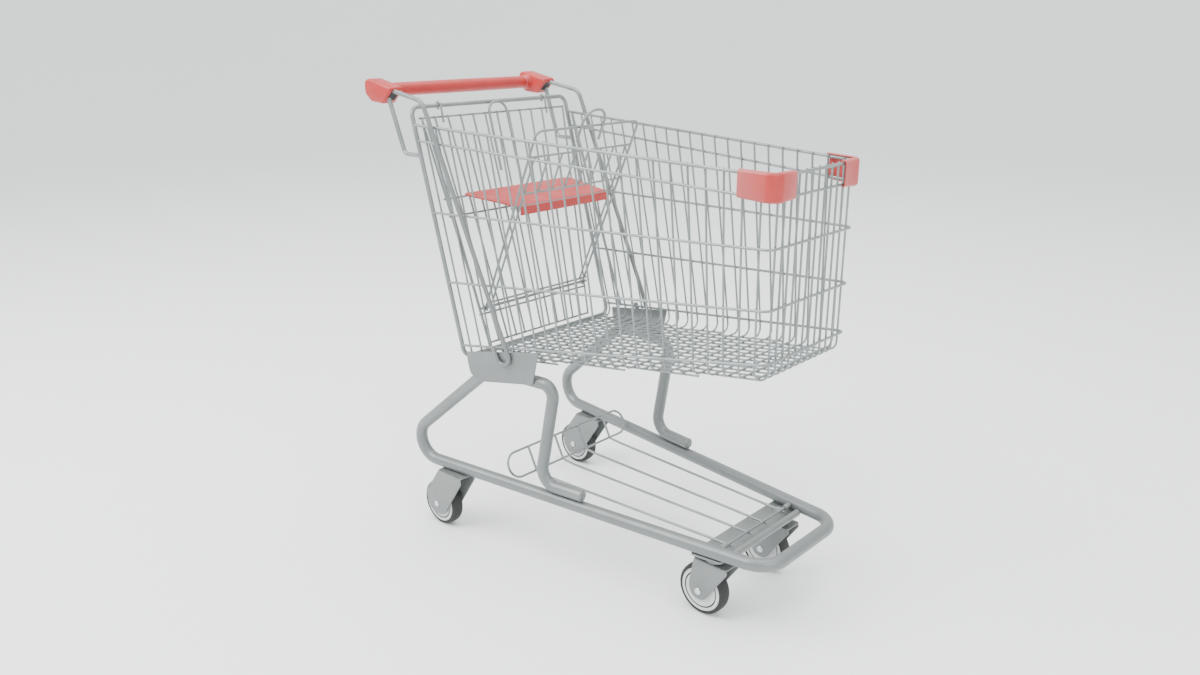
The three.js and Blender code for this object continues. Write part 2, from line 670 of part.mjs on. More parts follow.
function cornerBumper(sign) {
  const low = rim.frontZ + RIM_RADIUS + 2 * FACET_ROOM + BUMPER_WALL - BUMPER_HEIGHT;
  const high = low + BUMPER_HEIGHT;
  const rear = hoopPoint(rim, 0, 1);
  const corner = hoopPoint(rim, 1, 1);
  const along = rear.clone().sub(corner).setZ(0).normalize();
  const out = v3(-along.y, along.x, 0).multiplyScalar(-1);
  // The plan outline of an L that follows the corner, between two distances from the hoops' middle line.
  const corners = (offset) => {
    const tail = corner.clone().addScaledVector(along, BUMPER_SIDE_LENGTH).addScaledVector(out, offset);
    const frontX = corner.x + offset;
    const turnPoint = tail.clone().addScaledVector(along, -(frontX - tail.x) / -along.x);
    return [tail, v3(frontX, turnPoint.y, 0), v3(frontX, corner.y - BUMPER_FRONT_LENGTH, 0)];
  };
  const band = (inner, outer, fromZ, toZ) => {
    const outside = roundCorners(corners(outer), CORNER_RADIUS + outer - 6, 5);
    const inside = roundCorners(corners(inner), Math.max(CORNER_RADIUS + inner - 6, 2), 5).reverse();
    const ring = [...outside, ...inside].map((p) => new THREE.Vector2(p.x, p.y));
    return flatPlate(new THREE.Shape(ring), fromZ, toZ);
  };
  const outer = BUMPER_STAND_OFF + BUMPER_WALL;
  const shell = join(
    band(BUMPER_STAND_OFF, outer, low, high),
    band(-BUMPER_STAND_OFF + 2, outer - 0.5, high - BUMPER_WALL, high - 0.01),
    band(GAP, outer - 0.5, low + 0.01, low + BUMPER_WALL),
  );
  // Behind the corner the shell climbs with the rim.
  const slope = (rim.rearZ - rim.frontZ) / (BASKET_FRONT_X - frameX(rim.rearZ));
  const place = shell.attributes.position;
  for (let i = 0; i < place.count; i += 1) {
    place.setZ(i, place.getZ(i) + slope * Math.max(0, BASKET_FRONT_X - CORNER_RADIUS - place.getX(i)));
  }
  return shell.scale(1, sign, 1);
}
for (const { word, sign } of SIDES) {
  piece(basket, `corner_bumper_${word}`, cornerBumper(sign), RED);
}

// ---------- rear gate ----------

const gate = subgroup(cart);
gate.position.set(FRAME_TOP_X, 0, FRAME_TOP_Z);
const leanAngle = Math.atan(frameLean);

/** A point on the gate: down from the hinge rod along the lean, across, and ahead of the frame's plane. */
function gatePoint(down, y, ahead = GATE_FORWARD) {
  return v3(
    down * Math.sin(leanAngle) + ahead * Math.cos(leanAngle),
    y,
    -down * Math.cos(leanAngle) + ahead * Math.sin(leanAngle),
  );
}
const gateDown = (z) => (FRAME_TOP_Z - z) / Math.cos(leanAngle);
const gateLength = gateDown(FRAME_BOTTOM_Z) - GATE_BOTTOM_RISE;
const gateHalf = (down) => lerp(GATE_TOP_HALF, GATE_BOTTOM_HALF,
  (down - GATE_TOP_DROP) / (gateLength - GATE_TOP_DROP));
const gateCross = 2 * GATE_WIRE_RADIUS - WELD;

function gateGrid() {
  const uprights = Array.from({ length: GATE_WIRES }, (_, i) => {
    const share = lerp(-1, 1, i / (GATE_WIRES - 1));
    const reach = 1.5;
    return bar([
      gatePoint(GATE_TOP_DROP - reach, share * gateHalf(GATE_TOP_DROP)),
      gatePoint(gateLength + reach, share * gateHalf(gateLength)),
    ], GATE_WIRE_RADIUS);
  });
  const levels = [GATE_TOP_DROP, gateDown(GATE_SHELF_Z), gateDown(GATE_MIDDLE_Z), gateDown(SEAT_HINGE_Z) + 16,
    gateLength];
  const rows = levels.map((down) => {
    const half = gateHalf(down) + 3;
    const ahead = GATE_FORWARD - gateCross;
    return bar([gatePoint(down, -half, ahead), gatePoint(down, half, ahead)], GATE_WIRE_RADIUS);
  });
  // Each hinge eye goes up from the top wire and round over the hinge rod.
  const eyes = [-GATE_EYE_HALF, GATE_EYE_HALF].map((y) => {
    const knots = [gatePoint(GATE_TOP_DROP + 12, y), gatePoint(10, y, GATE_FORWARD + 2.1)];
    for (let k = 0; k <= 7; k += 1) {
      const angle = radians(lerp(10, 250, k / 7));
      knots.push(gatePoint(-HOOK_RADIUS * Math.sin(angle), y, HOOK_RADIUS * Math.cos(angle)));
    }
    return bar(knots, GATE_WIRE_RADIUS);
  });
  const loopHalf = LOOP_WIDTH / 2;
  const loopAhead = GATE_FORWARD + gateCross + 1;
  const loop = bar([
    gatePoint(GATE_LOOP_LENGTH, -loopHalf, loopAhead),
    gatePoint(GATE_LOOP_DROP, -loopHalf, loopAhead),
    gatePoint(GATE_LOOP_DROP, loopHalf, loopAhead),
    gatePoint(GATE_LOOP_LENGTH, loopHalf, loopAhead),
  ], LOOP_RADIUS, { bend: loopHalf - 2, chords: 4 });
  const tieHalf = 2 * GATE_TOP_HALF / (GATE_WIRES - 1) + 1;
  const ties = [GATE_TOP_DROP + 16, GATE_LOOP_LENGTH - 8].map((down) => bar([
    gatePoint(down, -tieHalf, GATE_FORWARD + gateCross), gatePoint(down, tieHalf, GATE_FORWARD + gateCross),
  ], GATE_WIRE_RADIUS));
  return join(...uprights, ...rows, ...eyes, ...ties, loop);
}
piece(gate, 'rear_gate', gateGrid(), WIRE);

// ---------- child seat ----------

const seat = subgroup(cart);
const seatHingeX = frameX(SEAT_HINGE_Z) + (GATE_FORWARD + SEAT_HINGE_FORWARD) / Math.cos(leanAngle);
seat.position.set(seatHingeX, 0, SEAT_HINGE_Z);
const seatLean = radians(SEAT_LEAN);

/** A point on the seat back, given up along its lean from its hinge, across, and ahead of its plane. */
const backPoint = (up, y, ahead = 0) => v3(
  up * Math.sin(seatLean) + ahead * Math.cos(seatLean),
  y,
  up * Math.cos(seatLean) - ahead * Math.sin(seatLean),
);
const hingeEyeRadius = SEAT_ROD_RADIUS + GATE_WIRE_RADIUS + 2 * GAP;

function seatBack() {
  const top = SEAT_BACK_HEIGHT;
  const second = top - SEAT_SECOND_DOWN;
  const wire = GATE_WIRE_RADIUS;
  const start = hingeEyeRadius - 1;
  const outer = bar([backPoint(start, -SEAT_BACK_HALF), backPoint(top, -SEAT_BACK_HALF),
    backPoint(top, SEAT_BACK_HALF), backPoint(start, SEAT_BACK_HALF)], wire, { bend: 14, chords: 3 });
  const inner = bar([backPoint(start + 6, -SEAT_BACK_INNER_HALF), backPoint(second, -SEAT_BACK_INNER_HALF),
    backPoint(second, SEAT_BACK_INNER_HALF), backPoint(start + 6, SEAT_BACK_INNER_HALF)], wire,
  { bend: 10, chords: 3 });
  const cross = (up, ahead) => bar([backPoint(up, -SEAT_BACK_HALF - 2, ahead),
    backPoint(up, SEAT_BACK_HALF + 2, ahead)], wire);
  const layer = 2 * wire - WELD;
  const rows = [cross(second, 0), cross(SEAT_WINDOW_TOP, layer), cross(start + 10, layer)];
  const uprights = Array.from({ length: SEAT_BACK_WIRES }, (_, i) => {
    const y = lerp(-1, 1, (i + 1) / (SEAT_BACK_WIRES + 1)) * SEAT_BACK_INNER_HALF;
    return bar([backPoint(second + 1, y), backPoint(SEAT_WINDOW_TOP - 1, y)], wire);
  });
  const loopHalf = LOOP_WIDTH / 2 + 6;
  const loop = bar([
    backPoint(top - 30, -loopHalf, layer + 1),
    backPoint(top + SEAT_LOOP_RISE, -loopHalf, layer + 1),
    backPoint(top + SEAT_LOOP_RISE, loopHalf, layer + 1),
    backPoint(top - 30, loopHalf, layer + 1),
  ], LOOP_RADIUS, { bend: loopHalf - 2, chords: 4 });
  const eyes = [-SEAT_BACK_HALF, SEAT_BACK_HALF].map((y) => {
    const knots = [];
    for (let k = 0; k <= 8; k += 1) {
      const angle = radians(lerp(90, -190, k / 8));
      knots.push(backPoint(hingeEyeRadius * Math.sin(angle), y, hingeEyeRadius * Math.cos(angle)));
    }
    return bar(knots, wire);
  });
  return join(outer, inner, ...rows, ...uprights, ...eyes, loop);
}
piece(seat, 'seat_back', seatBack(), WIRE);

const seatRodHalf = gateHalf(gateDown(SEAT_HINGE_Z));
piece(seat, 'seat_hinge_rod', bar([v3(0, -seatRodHalf, 0), v3(0, seatRodHalf, 0)], SEAT_ROD_RADIUS,
  { sides: 8 }), WIRE);

// The seat's rod lies behind the back's wires and reaches past the outer ones.
const pivotBehind = -2 * GATE_WIRE_RADIUS - FACET_ROOM;
const seatRodReach = SEAT_BACK_HALF + 3;
piece(seat, 'seat_pivot_rod', bar([backPoint(SEAT_PIVOT_UP, -seatRodReach, pivotBehind),
  backPoint(SEAT_PIVOT_UP, seatRodReach, pivotBehind)], GATE_WIRE_RADIUS, { sides: 8 }), WIRE);

function childSeat() {
  const bore = GATE_WIRE_RADIUS + 2 * GAP;
  const half = SEAT_SHEET / 2;
  const panel = flatPlate((() => {
    const shape = new THREE.Shape();
    shape.moveTo(-bore, SEAT_FRONT_HALF);
    shape.lineTo(-SEAT_DEPTH + 12, SEAT_REAR_HALF);
    shape.quadraticCurveTo(-SEAT_DEPTH, SEAT_REAR_HALF, -SEAT_DEPTH, SEAT_REAR_HALF - 12);
    shape.lineTo(-SEAT_DEPTH, -SEAT_REAR_HALF + 12);
    shape.quadraticCurveTo(-SEAT_DEPTH, -SEAT_REAR_HALF, -SEAT_DEPTH + 12, -SEAT_REAR_HALF);
    shape.lineTo(-bore, -SEAT_FRONT_HALF);
    return shape;
  })(), -half, half);
  // The front edge is a channel, open above, in which the rod lies, and a lip that hangs ahead of it.
  const channel = new THREE.Shape();
  channel.moveTo(-bore, half);
  channel.lineTo(-bore, -bore);
  channel.lineTo(bore, -bore);
  channel.lineTo(bore, half);
  channel.lineTo(bore + SEAT_SHEET - 1, half - 1);
  channel.lineTo(bore + SEAT_SHEET - 1, -SEAT_LIP);
  channel.lineTo(bore, -SEAT_LIP);
  channel.lineTo(bore, -bore - SEAT_SHEET + 1);
  channel.lineTo(-bore - SEAT_SHEET, -bore - SEAT_SHEET + 1);
  channel.lineTo(-bore - SEAT_SHEET, half);
  return join(panel, sidePlate(channel, -SEAT_FRONT_HALF, SEAT_FRONT_HALF));
}
const pivot = backPoint(SEAT_PIVOT_UP, 0, pivotBehind);
const seatPanel = piece(seat, 'child_seat', childSeat(), RED);
seatPanel.position.copy(pivot);
seatPanel.rotation.set(0, radians(SEAT_TILT), 0);

// ---------- lower tray ----------

const tray = subgroup(cart);
tray.position.set(TRAY_PIVOT_X, 0, TRAY_PIVOT_Z);

function lowerTray() {
  const r = TRAY_WIRE_RADIUS;
  const from = (x, y, z) => v3(x - TRAY_PIVOT_X, y, z - TRAY_PIVOT_Z);
  const wireZ = TRAY_PIVOT_Z - r - TRAY_PIVOT_RADIUS + WELD;
  const loopLow = from(TRAY_LOOP_LOW_X, 0, TRAY_LOOP_LOW_Z);
  const loopTop = from(TRAY_LOOP_TOP_X, 0, TRAY_LOOP_TOP_Z);
  const rise = loopTop.distanceTo(loopLow);
  const bend = rise / 2 - 0.5;
  // The loop's two halves lap at its middle, the right one a touch thinner so that no faces coincide.
  const side = (sign) => bar([
    loopTop.clone().setY(-2 * sign), loopTop.clone().setY(sign * (TRAY_LOOP_HALF + rise / 2)),
    loopLow.clone().setY(sign * (TRAY_LOOP_HALF + rise / 2)), loopLow.clone().setY(-2 * sign),
  ], sign > 0 ? r : 0.97 * r, { bend, chords: 4 });
  const lift = loopTop.clone().sub(loopLow).normalize();
  const ahead = v3(lift.z, 0, -lift.x).multiplyScalar(2 * r - WELD);
  const wires = [[TRAY_OUTER_REAR, TRAY_OUTER_FRONT], [TRAY_INNER_REAR, TRAY_INNER_FRONT]]
    .flatMap(([rear, front]) => [1, -1].map((sign) => bar([
      loopTop.clone().add(ahead).setY(sign * rear).addScaledVector(lift, 1),
      loopLow.clone().add(ahead).setY(sign * rear).addScaledVector(lift, -1),
      from(TRAY_REAR_BEND_X, sign * rear, wireZ),
      from(TRAY_PIVOT_X + 6, sign * front, wireZ),
    ], r, { bend: 16, chords: 2 })));
  const pivotHalf = railHalf(TRAY_PIVOT_X) - RAIL_RADIUS - 2;
  const rod = bar([v3(0, -pivotHalf, 0), v3(0, pivotHalf, 0)], TRAY_PIVOT_RADIUS, { sides: 8 });
  return join(side(1), side(-1), ...wires, rod);
}
piece(tray, 'lower_tray', lowerTray(), WIRE);

for (const { word, sign } of SIDES) {
  const end = railHalf(TRAY_PIVOT_X) - RAIL_RADIUS - 3;
  const inner = TRAY_PIVOT_RADIUS + 2 * GAP;
  const ring = turnedAcross(closedRing([
    [inner, end - TRAY_SLEEVE_LENGTH], [TRAY_SLEEVE_RADIUS, end - TRAY_SLEEVE_LENGTH],
    [TRAY_SLEEVE_RADIUS, end], [inner, end],
  ]), 10).scale(1, sign, 1);
  piece(tray, `tray_sleeve_${word}`, ring, WIRE);
}

// ---------- casters ----------

const cheekInner = TYRE_WIDTH / 2 + FORK_CLEARANCE;
const cheekOuter = cheekInner + FORK_SHEET;

/** One fork's cheek outline about the axle: a broad round foot that rakes forward up to the crown. */
function cheekOutline(lead, crownZ, foot) {
  const outline = new THREE.Shape();
  const rearTop = lead - FORK_CROWN_LENGTH / 2;
  const frontTop = lead + FORK_CROWN_LENGTH / 2;
  outline.moveTo(rearTop, crownZ);
  outline.lineTo(-foot.rear, 0.6 * foot.rear);
  outline.quadraticCurveTo(-foot.rear, -foot.low, 0, -foot.low);
  outline.quadraticCurveTo(0.75 * foot.front, -foot.low, foot.front, 0);
  outline.lineTo(frontTop, crownZ - foot.shoulder);
  outline.lineTo(frontTop, crownZ);
  return outline;
}

function fork(lead, crownZ, foot, pinRadius) {
  const axleHole = turnedAcross([[0, -cheekOuter - 1], [AXLE_RADIUS + GAP, -cheekOuter - 1],
    [AXLE_RADIUS + GAP, cheekOuter + 1], [0, cheekOuter + 1]], 12);
  const outline = cheekOutline(lead, crownZ, foot);
  const crown = flatPlate((() => {
    const shape = new THREE.Shape();
    const rear = lead - FORK_CROWN_LENGTH / 2;
    shape.moveTo(rear, -cheekOuter);
    shape.lineTo(rear + FORK_CROWN_LENGTH, -cheekOuter);
    shape.lineTo(rear + FORK_CROWN_LENGTH, cheekOuter);
    shape.lineTo(rear, cheekOuter);
    if (pinRadius > 0) {
      const hole = new THREE.Path();
      hole.absarc(lead, 0, pinRadius, 0, 2 * Math.PI, true);
      shape.holes.push(hole);
    }
    return shape;
  })(), crownZ - FORK_SHEET, crownZ);
  const body = join(
    crown,
    sidePlate(outline, cheekInner, cheekOuter),
    sidePlate(outline, -cheekOuter, -cheekInner),
  );
  return cut(body, axleHole);
}

/** The wheel, its bearing, axle and nut about the axle's middle. */
function wheelSet(group, place) {
  const halfWidth = TYRE_WIDTH / 2;
  const shoulder = 6;
  // The tread's flats, not its corners, lie at the wheel's radius, and one flat faces the floor.
  const flats = 24;
  const tread = WHEEL_RADIUS / Math.cos(Math.PI / flats);
  piece(group, `tyre_${place}`, turnedAcross(closedRing([
    [HUB_RADIUS + 2 * GAP, -halfWidth + 1], [tread - shoulder, -halfWidth], [tread, -halfWidth + shoulder],
    [tread, halfWidth - shoulder], [tread - shoulder, halfWidth], [HUB_RADIUS + 2 * GAP, halfWidth - 1],
  ]), flats).rotateY(Math.PI / flats), RUBBER);
  piece(group, `wheel_hub_${place}`, turnedAcross(closedRing([
    [BORE_RADIUS, -halfWidth - 1], [BORE_RADIUS + 6, -halfWidth - 1], [HUB_RADIUS, -halfWidth + 2],
    [HUB_RADIUS, halfWidth - 2], [BORE_RADIUS + 6, halfWidth + 1], [BORE_RADIUS, halfWidth + 1],
  ]), 20), NYLON);
  piece(group, `wheel_bearing_${place}`, turnedAcross(closedRing([
    [AXLE_RADIUS + 2 * GAP, -halfWidth - 2], [BORE_RADIUS - 2 * GAP, -halfWidth - 2],
    [BORE_RADIUS - 2 * GAP, halfWidth + 2], [AXLE_RADIUS + 2 * GAP, halfWidth + 2],
  ]), 10), BRASS);
  const face = cheekOuter + GAP;
  piece(group, `axle_bolt_${place}`, turnedAcross([
    [0, -face - AXLE_HEAD_DEPTH], [AXLE_HEAD_RADIUS, -face - AXLE_HEAD_DEPTH], [AXLE_HEAD_RADIUS, -face],
    [AXLE_RADIUS, -face], [AXLE_RADIUS, face],
    [AXLE_HEAD_RADIUS, face], [AXLE_HEAD_RADIUS, face + AXLE_HEAD_DEPTH], [0, face + AXLE_HEAD_DEPTH],
  ], 10), ZINC);
}

const rearCrownZ = plateTopZ - WHEEL_RADIUS;
const frontCrownZ = WHEEL_RADIUS + FORK_TOP_CLEARANCE + FORK_SHEET;
const headBottom = frontCrownZ + GAP;
const headTop = plateTopZ - CROSS_PLATE_SHEET - GAP - WHEEL_RADIUS;

for (const { word, sign } of SIDES) {
  const rear = subgroup(cart);
  rear.position.set(REAR_AXLE_X, sign * REAR_TRACK_HALF, WHEEL_RADIUS);
  piece(rear, `caster_fork_rear_${word}`, fork(REAR_FORK_LEAD, rearCrownZ, REAR_FOOT, 0), LACQUER);
  wheelSet(rear, `rear_${word}`);

  const front = subgroup(cart);
  front.position.set(WHEELBASE, sign * FRONT_TRACK_HALF, WHEEL_RADIUS);
  const frontFork = fork(FRONT_TRAIL, frontCrownZ, FRONT_FOOT, KINGPIN_RADIUS + GAP);
  piece(front, `caster_fork_front_${word}`, frontFork, LACQUER);
  wheelSet(front, `front_${word}`);

  const swivel = subgroup(front);
  swivel.position.x = FRONT_TRAIL;
  const boreRadius = KINGPIN_RADIUS + GAP;
  piece(swivel, `swivel_head_front_${word}`, turnedUpright(closedRing([
    [boreRadius, headBottom], [HEAD_RADIUS, headBottom], [HEAD_RADIUS, headTop - 4],
    [HEAD_RADIUS - 4, headTop], [boreRadius, headTop],
  ]), 16), ZINC);
  const pinLow = frontCrownZ - FORK_SHEET - GAP;
  const pinTop = plateTopZ - WHEEL_RADIUS + GAP;
  piece(swivel, `kingpin_front_${word}`, turnedUpright([
    [0, pinLow - 3], [KINGPIN_RADIUS + 3, pinLow - 3], [KINGPIN_RADIUS + 3, pinLow], [KINGPIN_RADIUS, pinLow],
    [KINGPIN_RADIUS, pinTop], [KINGPIN_RADIUS + 4, pinTop], [KINGPIN_RADIUS + 4, pinTop + 5], [0, pinTop + 5],
  ], 10), ZINC);
}

// ---------- origin at the middle of the footprint ----------

cart.updateMatrixWorld(true);
const extent = new THREE.Box3().setFromObject(cart, true);
cart.position.x = -(extent.min.x + extent.max.x) / 2;
cart.updateMatrixWorld(true);

export default cart;
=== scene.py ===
"""Shopping cart: visual pieces, finishes, light and camera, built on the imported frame."""

import logging
import math
from collections.abc import Iterable, Sequence
from dataclasses import dataclass
from enum import Enum
from functools import cache

import bpy
import numpy as np
from mathutils import Matrix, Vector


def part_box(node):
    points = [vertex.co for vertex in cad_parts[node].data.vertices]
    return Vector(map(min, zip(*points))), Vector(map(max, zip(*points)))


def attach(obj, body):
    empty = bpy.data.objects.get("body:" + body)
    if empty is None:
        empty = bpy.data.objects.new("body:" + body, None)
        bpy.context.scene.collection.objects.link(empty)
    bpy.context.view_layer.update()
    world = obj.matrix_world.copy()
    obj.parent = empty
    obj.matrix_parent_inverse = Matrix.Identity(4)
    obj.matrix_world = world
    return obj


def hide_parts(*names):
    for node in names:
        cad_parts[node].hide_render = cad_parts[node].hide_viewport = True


log = logging.getLogger("cart")

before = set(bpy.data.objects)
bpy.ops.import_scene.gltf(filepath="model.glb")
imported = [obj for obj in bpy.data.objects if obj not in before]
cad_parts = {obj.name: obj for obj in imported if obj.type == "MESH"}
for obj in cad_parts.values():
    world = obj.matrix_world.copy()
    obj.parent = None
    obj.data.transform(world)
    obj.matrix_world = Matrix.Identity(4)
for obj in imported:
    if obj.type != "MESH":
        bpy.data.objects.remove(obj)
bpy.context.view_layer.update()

Array = np.ndarray
LEFT, RIGHT = 1.0, -1.0
SIDES = (("left", LEFT), ("right", RIGHT))

# Lengths below are millimetres measured from the rear axle, on the floor, at the cart's middle plane.
REAR_AXLE_X = -7.0
MM = 0.001
GAP = 0.4  # keeps neighbouring solids apart
SINK = 0.5  # how far crossing wires press into each other at a weld


def _datum() -> float:
    """Where the rear-axle datum lies along the frame's X.

    Returns:
        The frame X, in metres, of the datum from which this script measures.
    """
    low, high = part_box("tyre_rear_left")
    return float(low.x + high.x) / 2 - REAR_AXLE_X * MM


DATUM = _datum()


def to_frame(points: Array) -> Array:
    """Moves points from millimetres at the datum into the frame.

    Args:
        points: any array whose last axis is x, y, z in millimetres from the datum.

    Returns:
        The same points in metres in the frame.
    """
    moved = np.asarray(points, float) * MM
    moved[..., 0] += DATUM
    return moved


# ---------------------------------------------------------------- geometry


@dataclass
class Surface:
    """A mesh under construction, in millimetres from the datum.

    Attributes:
        verts: vertex positions, one row each.
        faces: corner numbers of each face.
    """

    verts: Array
    faces: list[tuple[int, ...]]

    @staticmethod
    def joined(parts: Iterable["Surface"]) -> "Surface":
        """Puts several surfaces into one.

        Args:
            parts: the surfaces to gather.

        Returns:
            One surface that holds them all.
        """
        verts: list[Array] = []
        faces: list[tuple[int, ...]] = []
        count = 0
        for part in parts:
            verts.append(part.verts)
            faces.extend(tuple(i + count for i in face) for face in part.faces)
            count += len(part.verts)
        return Surface(np.vstack(verts), faces)

    def mirrored(self, sign: float) -> "Surface":
        """Returns this surface on one side of the cart.

        Args:
            sign: LEFT keeps it, RIGHT mirrors it in the middle plane.

        Returns:
            The surface, with its faces still the right way out.
        """
        return self if sign > 0 else Surface(self.verts * (1.0, -1.0, 1.0), self.faces).flipped()

    def flipped(self) -> "Surface":
        """Returns this surface with its faces turned the other way out."""
        return Surface(self.verts, [face[::-1] for face in self.faces])

    def moved(self, offset: Sequence[float]) -> "Surface":
        """Returns this surface shifted by an offset in millimetres."""
        return Surface(self.verts + np.asarray(offset, float), self.faces)


def unit(vectors: Array) -> Array:
    """Scales vectors along the last axis to length one."""
    return vectors / np.maximum(np.linalg.norm(vectors, axis=-1, keepdims=True), 1e-12)


def loft(rings: Array, closed: bool = False, caps: bool = True) -> Surface:
    """Skins a stack of closed rings that all have the same number of points.

    Args:
        rings: positions as (ring, point, xyz).
        closed: whether the last ring joins back to the first.
        caps: whether the first and last ring are filled in.

    Returns:
        The skinned surface.
    """
    count, size = rings.shape[:2]
    step = np.arange(size)
    after = (step + 1) % size
    faces: list[tuple[int, ...]] = []
    for i in range(count if closed else count - 1):
        a, b = i * size, ((i + 1) % count) * size
        faces.extend(zip(a + step, a + after, b + after, b + step))
    if caps and not closed:
        faces.append(tuple(int(i) for i in step[::-1]))
        faces.append(tuple(int(i) for i in step + (count - 1) * size))
    return Surface(rings.reshape(-1, 3), [tuple(int(i) for i in face) for face in faces])


def bent(points: Sequence[Sequence[float]], radius: float | Sequence[float], chords: int = 8) -> Array:
    """Rounds the corners of a run of straight lines with arcs tangent to both lines.

    Args:
        points: the corners, with the two ends first and last.
        radius: the bend radius, or one for each inner corner.
        chords: how many chords make up each arc.

    Returns:
        The points of the rounded path.
    """
    corners = [np.asarray(p, float) for p in points]
    radii = np.broadcast_to(np.asarray(radius, float), (len(corners) - 2,))
    path = [corners[0]]
    for before, here, after, bend in zip(corners, corners[1:], corners[2:], radii):
        back, ahead = unit(before - here), unit(after - here)
        half = math.acos(float(np.clip(back @ ahead, -1, 1))) / 2
        if bend <= 0 or half > math.pi / 2 - 1e-3:
            path.append(here)
            continue
        centre = here + unit(back + ahead) * bend / math.sin(half)
        start = here + back * bend / math.tan(half) - centre
        stop = here + ahead * bend / math.tan(half) - centre
        sweep_angle = math.pi - 2 * half
        t = np.linspace(0, 1, chords + 1)[:, None]
        path.extend(centre + (np.sin((1 - t) * sweep_angle) * start + np.sin(t * sweep_angle) * stop)
                    / math.sin(sweep_angle))
    path.append(corners[-1])
    return np.array(path)


def tangents(path: Array, closed: bool = False) -> Array:
    """Unit directions along a path: at each point, the mean of the chords before and after it.

    Args:
        path: the points of the path.
        closed: whether the last point joins back to the first.

    Returns:
        One unit vector for each point.
    """
    if closed:
        return unit(np.roll(path, -1, 0) - np.roll(path, 1, 0))
    chord = unit(np.diff(path, axis=0))
    return unit(np.vstack([chord[:1], chord[:-1] + chord[1:], chord[-1:]]))


def carried(path: Array, closed: bool = False) -> tuple[Array, Array]:
    """Axes across a path that turn with it and don't twist about it.

    Args:
        path: the points of the path.
        closed: whether the last point joins back to the first.

    Returns:
        Two arrays of unit vectors, both square to the path at each point.
    """
    tangent = tangents(path, closed)
    across = np.zeros_like(tangent)
    guess = np.eye(3)[int(np.argmin(np.abs(tangent[0])))]
    for i, along in enumerate(tangent):
        guess = unit(guess - (guess @ along) * along)
        across[i] = guess
    return across, np.cross(tangent, across)


def tube(path: Array, radius: float, sides: int = 12, closed: bool = False, dome: float = 0.35) -> Surface:
    """A round bar along a path: each ring is the path's point plus the radius turned about its tangent.

    Args:
        path: the middle line.
        radius: the bar's radius.
        sides: faces round the bar.
        closed: whether the path joins up.
        dome: how far each end bulges, as a share of the radius.

    Returns:
        The bar's surface.
    """
    across, over = carried(path, closed)
    scale = np.ones(len(path))
    points = path
    if not closed:
        shrink = np.array([1.0, 0.78, 0.44])
        lift = dome * radius * np.sqrt(1 - shrink ** 2)
        first, last = unit(path[0] - path[1]), unit(path[-1] - path[-2])
        points = np.vstack([path[0] + first * lift[::-1, None], path[1:-1], path[-1] + last * lift[:, None]])
        scale = np.concatenate([shrink[::-1], np.ones(len(path) - 2), shrink])
        across, over = (np.vstack([np.repeat(a[:1], 3, 0), a[1:-1], np.repeat(a[-1:], 3, 0)])
                        for a in (across, over))
    angle = 2 * np.pi * np.arange(sides) / sides
    spread = np.cos(angle)[None, :, None] * across[:, None] + np.sin(angle)[None, :, None] * over[:, None]
    rings = points[:, None] + radius * scale[:, None, None] * spread
    return loft(rings, closed)


def rod(start: Array, end: Array, radius: float, sides: int = 10) -> Surface:
    """A straight round bar between two points."""
    return tube(np.array([start, end]), radius, sides)


def lap(radius: float) -> float:
    """How far apart the middle lines of two equal wires lie where they cross at a weld."""
    return 2 * radius - SINK


def turned(profile: Sequence[tuple[float, float]], axis: str, centre: Sequence[float], segments: int = 64,
           closed: bool = False) -> Surface:
    """A turned body: a profile of (radius, height) pairs swung once round an axis.

    Args:
        profile: the pairs, from the low end to the high end, or round a closed section.
        axis: "y" for across the cart or "z" for upright.
        centre: where the axis passes.
        segments: steps round the axis.
        closed: whether the profile is a closed section rather than running from axis to axis.

    Returns:
        The body's surface.
    """
    pairs = np.array(profile, float)
    angle = 2 * np.pi * np.arange(segments) / segments
    c, s = np.cos(angle), np.sin(angle)
    out, up = pairs[:, :1], pairs[:, 1:]
    if axis == "y":
        rings = np.stack([out * s, up + 0 * c, out * c], -1)
    else:
        rings = np.stack([out * c, out * s, up + 0 * c], -1)
    return loft(rings + np.asarray(centre, float), closed=closed, caps=not closed)


def slab(outline: Array, low: float, high: float, axis: str) -> Surface:
    """A flat sheet cut to an outline.

    Args:
        outline: corners as pairs: (x, z) for a sheet facing y, or (x, y) for one facing z.
        low: where the sheet's first face lies along the axis.
        high: where its other face lies.
        axis: "y" or "z", the way the sheet faces.

    Returns:
        The sheet's surface.
    """
    flat = np.asarray(outline, float)
    area = np.sum(flat[:, 0] * np.roll(flat[:, 1], -1) - np.roll(flat[:, 0], -1) * flat[:, 1])
    if (area > 0) != (axis == "z"):
        flat = flat[::-1]
    rings = []
    for level in (low, high):
        depth = np.full(len(flat), level)
        columns = [flat[:, 0], depth, flat[:, 1]] if axis == "y" else [flat[:, 0], flat[:, 1], depth]
        rings.append(np.stack(columns, -1))
    return loft(np.array(rings))


def rounded_outline(corners: Sequence[Sequence[float]], radius: float | Sequence[float],
                    chords: int = 6) -> Array:
    """A closed flat outline with its corners rounded.

    Args:
        corners: the sharp corners, in order.
        radius: one radius, or one for each corner.
        chords: chords in each rounded corner.

    Returns:
        The rounded outline's points.
    """
    flat = np.array([(a, b, 0.0) for a, b in corners])
    radii = np.broadcast_to(np.asarray(radius, float), (len(flat),))
    middle = (flat[0] + flat[-1]) / 2
    path = bent([middle, *flat, middle], radii, chords)
    return path[:-1, :2]


# ---------------------------------------------------------------- finishes


